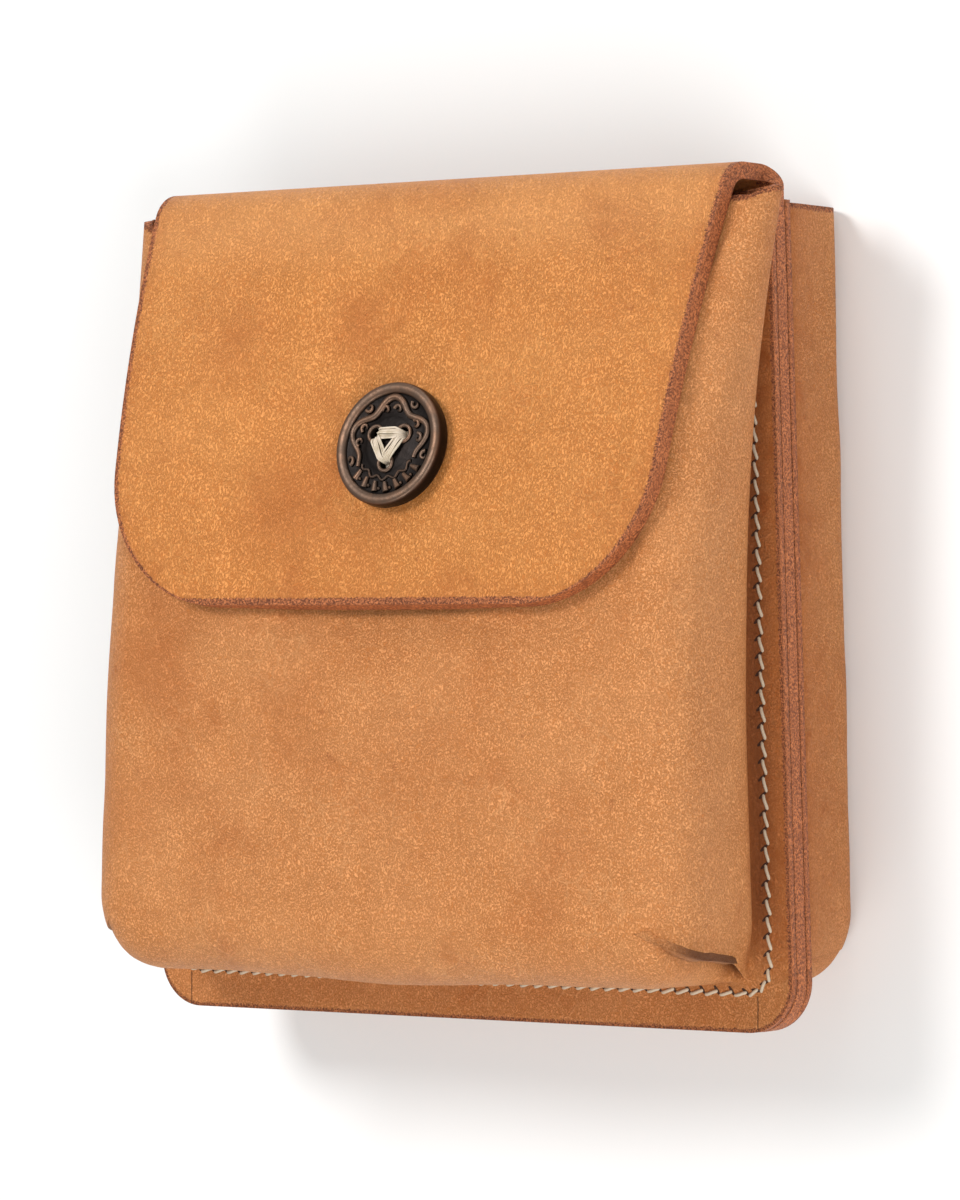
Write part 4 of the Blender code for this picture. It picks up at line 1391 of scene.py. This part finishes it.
class POUCH_OT_cord(bpy.types.Operator):
    """Lace the flat bundle of cord through the three holes"""

    bl_idname = "pouch.cord"
    bl_label = "Cord"

    def execute(self, context):
        s = sizes()
        spots = [Vector((s.hole_circle * cos(a), s.hole_circle * sin(a), 0)) for a in hole_angles()]
        bm = bmesh.new()
        top = s.button_thick - s.button_recess + 0.00105
        bottom = -s.gap - s.flap - s.strand
        for i in range(3):
            run = (spots[i], spots[(i + 1) % 3])
            for k in range(STRANDS):
                tube(bm, front_strand(i, k, *run, top), s.strand, s.strand, 6)
            for k in range(STRANDS):
                tube(bm, back_strand(k, *run, bottom), s.strand, s.strand, 6)
        for spot in spots:
            post(bm, [Vector((spot.x, spot.y, mix(bottom, top - 0.0022, n / 4))) for n in range(5)], 0.0010)
        obj = new_object("button_cord", bm, cord_finish())
        settle(obj, button_place())
        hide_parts("button_cord")
        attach(obj, "flap")
        return {"FINISHED"}


def sideways(start, end, k, spacing):
    """How far one strand of the flat bundle lies to the side of its middle."""
    along = (end - start).normalized()
    return Vector((along.y, -along.x, 0)) * (k - (STRANDS - 1) / 2) * spacing


def front_strand(i, k, start, end, top):
    """Strand over the button's face, with both ends diving into the holes."""
    aside = sideways(start, end, k, 0.00034)
    wander = noise.noise(Vector((k * 2.3, i * 5.1, 1.0)))
    crown = top + 0.00018 * cos(k * 1.9) + 0.00010 * wander
    path = []
    last = 14
    for n in range(last + 1):
        f = n / last
        dive = max(0.0, abs(2 * f - 1) - 0.62) / 0.38
        spot = start.lerp(end, mix(0.02, 0.98, f)) + aside * (1 - 0.55 * dive)
        spot.z = crown - 0.0030 * dive ** 2 + 0.00016 * sin(2 * pi * f + k)
        path.append(spot)
    return path


def back_strand(k, start, end, bottom):
    """Strand behind the flap, straight from hole to hole."""
    aside = sideways(start, end, k, 0.00030)
    last = 6
    path = [start.lerp(end, n / last) + aside * (1 - 0.5 * abs(2 * n / last - 1)) for n in range(last + 1)]
    for point in path:
        point.z = bottom
    return path


def post(bm, path, radius):
    """Upright round length of cord inside a hole."""
    spokes = [Vector((radius * cos(a), radius * sin(a), 0)) for a in round_steps(12)]
    skin(bm, [[point + spoke for spoke in spokes] for point in path])


def cord_finish():
    """Waxed cord, off-white with a greenish cast."""
    base = tuple(colours().cord)
    f = Finish("waxed_cord_finish", base, 0.5)
    fibre = f.noise(0.00035, 4.0, 0.7)
    stain = f.noise(0.0022, 2.0, 0.5).ramp(0.42, 0.68)
    tone = f.blend(stain * 0.40, base, (0.330, 0.250, 0.110))
    tone = f.blend(fibre.ramp(0.4, 0.8) * 0.4, tone, (0.800, 0.750, 0.620))
    f.set("Base Color", tone)
    f.set("Roughness", 0.42 + 0.25 * fibre)
    f.set("Normal", f.bump(fibre, 0.00006))
    return f.material


def quarter(x, y, across, up, radius, reverse=False):
    """Quarter circle of a profile, round a middle, from its upright to its level end or the other way."""
    arc = [radians(15 * k) for k in range(7)]
    if reverse:
        arc.reverse()
    return [(x + across * radius * sin(a), y + up * radius * cos(a)) for a in arc]


def magnet(name, body, where, top):
    """Flat steel disc with its upper face at a height on the closure's axis."""
    s = sizes()
    corner = 0.0003
    low = top - s.magnet_thick
    side = s.magnet / 2 - corner
    profile = [(0.0, low)]
    profile += quarter(side, low + corner, 1, -1, corner)
    profile += quarter(side, top - corner, 1, 1, corner, reverse=True)
    profile += [(0.0, top)]
    finish_closure(spun(name, profile, 72), name, body, where, magnet_steel())


def magnet_patch(name, body, where, seat):
    """Round of leather, wet formed over the magnet, with its rim seated at a height."""
    s = sizes()
    rim = s.patch / 2
    room = s.magnet / 2 + s.gap
    hollow = seat - s.cord / 2 - s.magnet_thick - s.gap
    outer = room + s.patch_leather
    under = seat - s.patch_leather
    back = hollow - s.patch_leather
    edge = 0.0004
    shoulder = 0.0008
    profile = [(0.0, hollow), (room - 0.0004, hollow), (room, hollow + 0.0003)]
    profile += [(room + 0.0003, seat - 0.0002), (room + 0.0006, seat)]
    profile += [(rim - 0.0003, seat), (rim, seat - 0.0003)]
    profile += quarter(rim - edge, under + edge, 1, -1, edge, reverse=True)
    profile += quarter(outer + shoulder, under - shoulder, -1, 1, shoulder)
    profile += quarter(outer - shoulder, back + shoulder, 1, -1, shoulder, reverse=True)
    profile += [(0.0, back)]
    obj = spun(name, profile, 96)
    burnished_from = rim - 0.0016
    radii = [sqrt(v.co.x ** 2 + v.co.y ** 2) for v in obj.data.vertices]
    store(obj, "edge", [smooth((radius - burnished_from) / 0.0014) for radius in radii])
    finish_closure(obj, name, body, where, pocket_leather())


def finish_closure(obj, name, body, where, material):
    """Put a turned piece of the closure in its place, with its finish."""
    choose(obj)
    bpy.ops.object.shade_smooth_by_angle(angle=radians(50))
    settle(obj, where)
    obj.data.materials.clear()
    obj.data.materials.append(material)
    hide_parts(name)
    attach(obj, body)


def magnet_steel():
    if "steel" not in FINISHES:
        bright = (0.56, 0.56, 0.57)
        FINISHES["steel"] = plain("magnet_finish", bright, 0.28, 1.0, size=0.0015, depth=0.00001)
    return FINISHES["steel"]


class POUCH_OT_closure(bpy.types.Operator):
    """Set the hidden magnets under their leather patches"""

    bl_idname = "pouch.closure"
    bl_label = "Closure"

    def execute(self, context):
        s = sizes()
        on_flap = button_place()
        seat = -s.flap - 2 * s.gap
        magnet("flap_magnet", "flap", on_flap, seat - s.cord / 2 - s.gap)
        magnet_patch("flap_magnet_patch", "flap", on_flap, seat)
        face = place(s.button_offset, s.button_height, front_face(s.button_offset, s.button_height))
        turn = Matrix.Rotation(-flap_lean(s.button_height), 4, "X")
        inside = Matrix.Translation(face - turn.to_3x3() @ Vector((0, 0, s.pocket + s.gap))) @ turn
        magnet("pocket_magnet", "pouch", inside, -s.gap)
        magnet_patch("pocket_magnet_patch", "pouch", inside, 0.0)
        return {"FINISHED"}


class POUCH_PT_panel(bpy.types.Panel):
    """Steps of the pouch"""

    bl_label = "Pouch"
    bl_space_type = "VIEW_3D"
    bl_region_type = "UI"
    bl_category = "Pouch"

    def draw(self, context):
        for step in STEPS:
            self.layout.operator(step.bl_idname)


STEPS = (POUCH_OT_stage, POUCH_OT_pockets, POUCH_OT_flap, POUCH_OT_stitches, POUCH_OT_button, POUCH_OT_cord,
         POUCH_OT_closure)
CLASSES = (PouchSizes, PouchColours, *STEPS, POUCH_PT_panel)


def register():
    for cls in CLASSES:
        bpy.utils.register_class(cls)
    bpy.types.Scene.pouch_sizes = PointerProperty(type=PouchSizes)
    bpy.types.Scene.pouch_colours = PointerProperty(type=PouchColours)


def unregister():
    del bpy.types.Scene.pouch_colours
    del bpy.types.Scene.pouch_sizes
    for cls in reversed(CLASSES):
        bpy.utils.unregister_class(cls)


def main():
    register()
    bpy.ops.pouch.stage()
    bpy.ops.pouch.pockets()
    bpy.ops.pouch.flap()
    bpy.ops.pouch.stitches()
    bpy.ops.pouch.button()
    bpy.ops.pouch.cord()
    bpy.ops.pouch.closure()


if __name__ == "__main__":
    main()
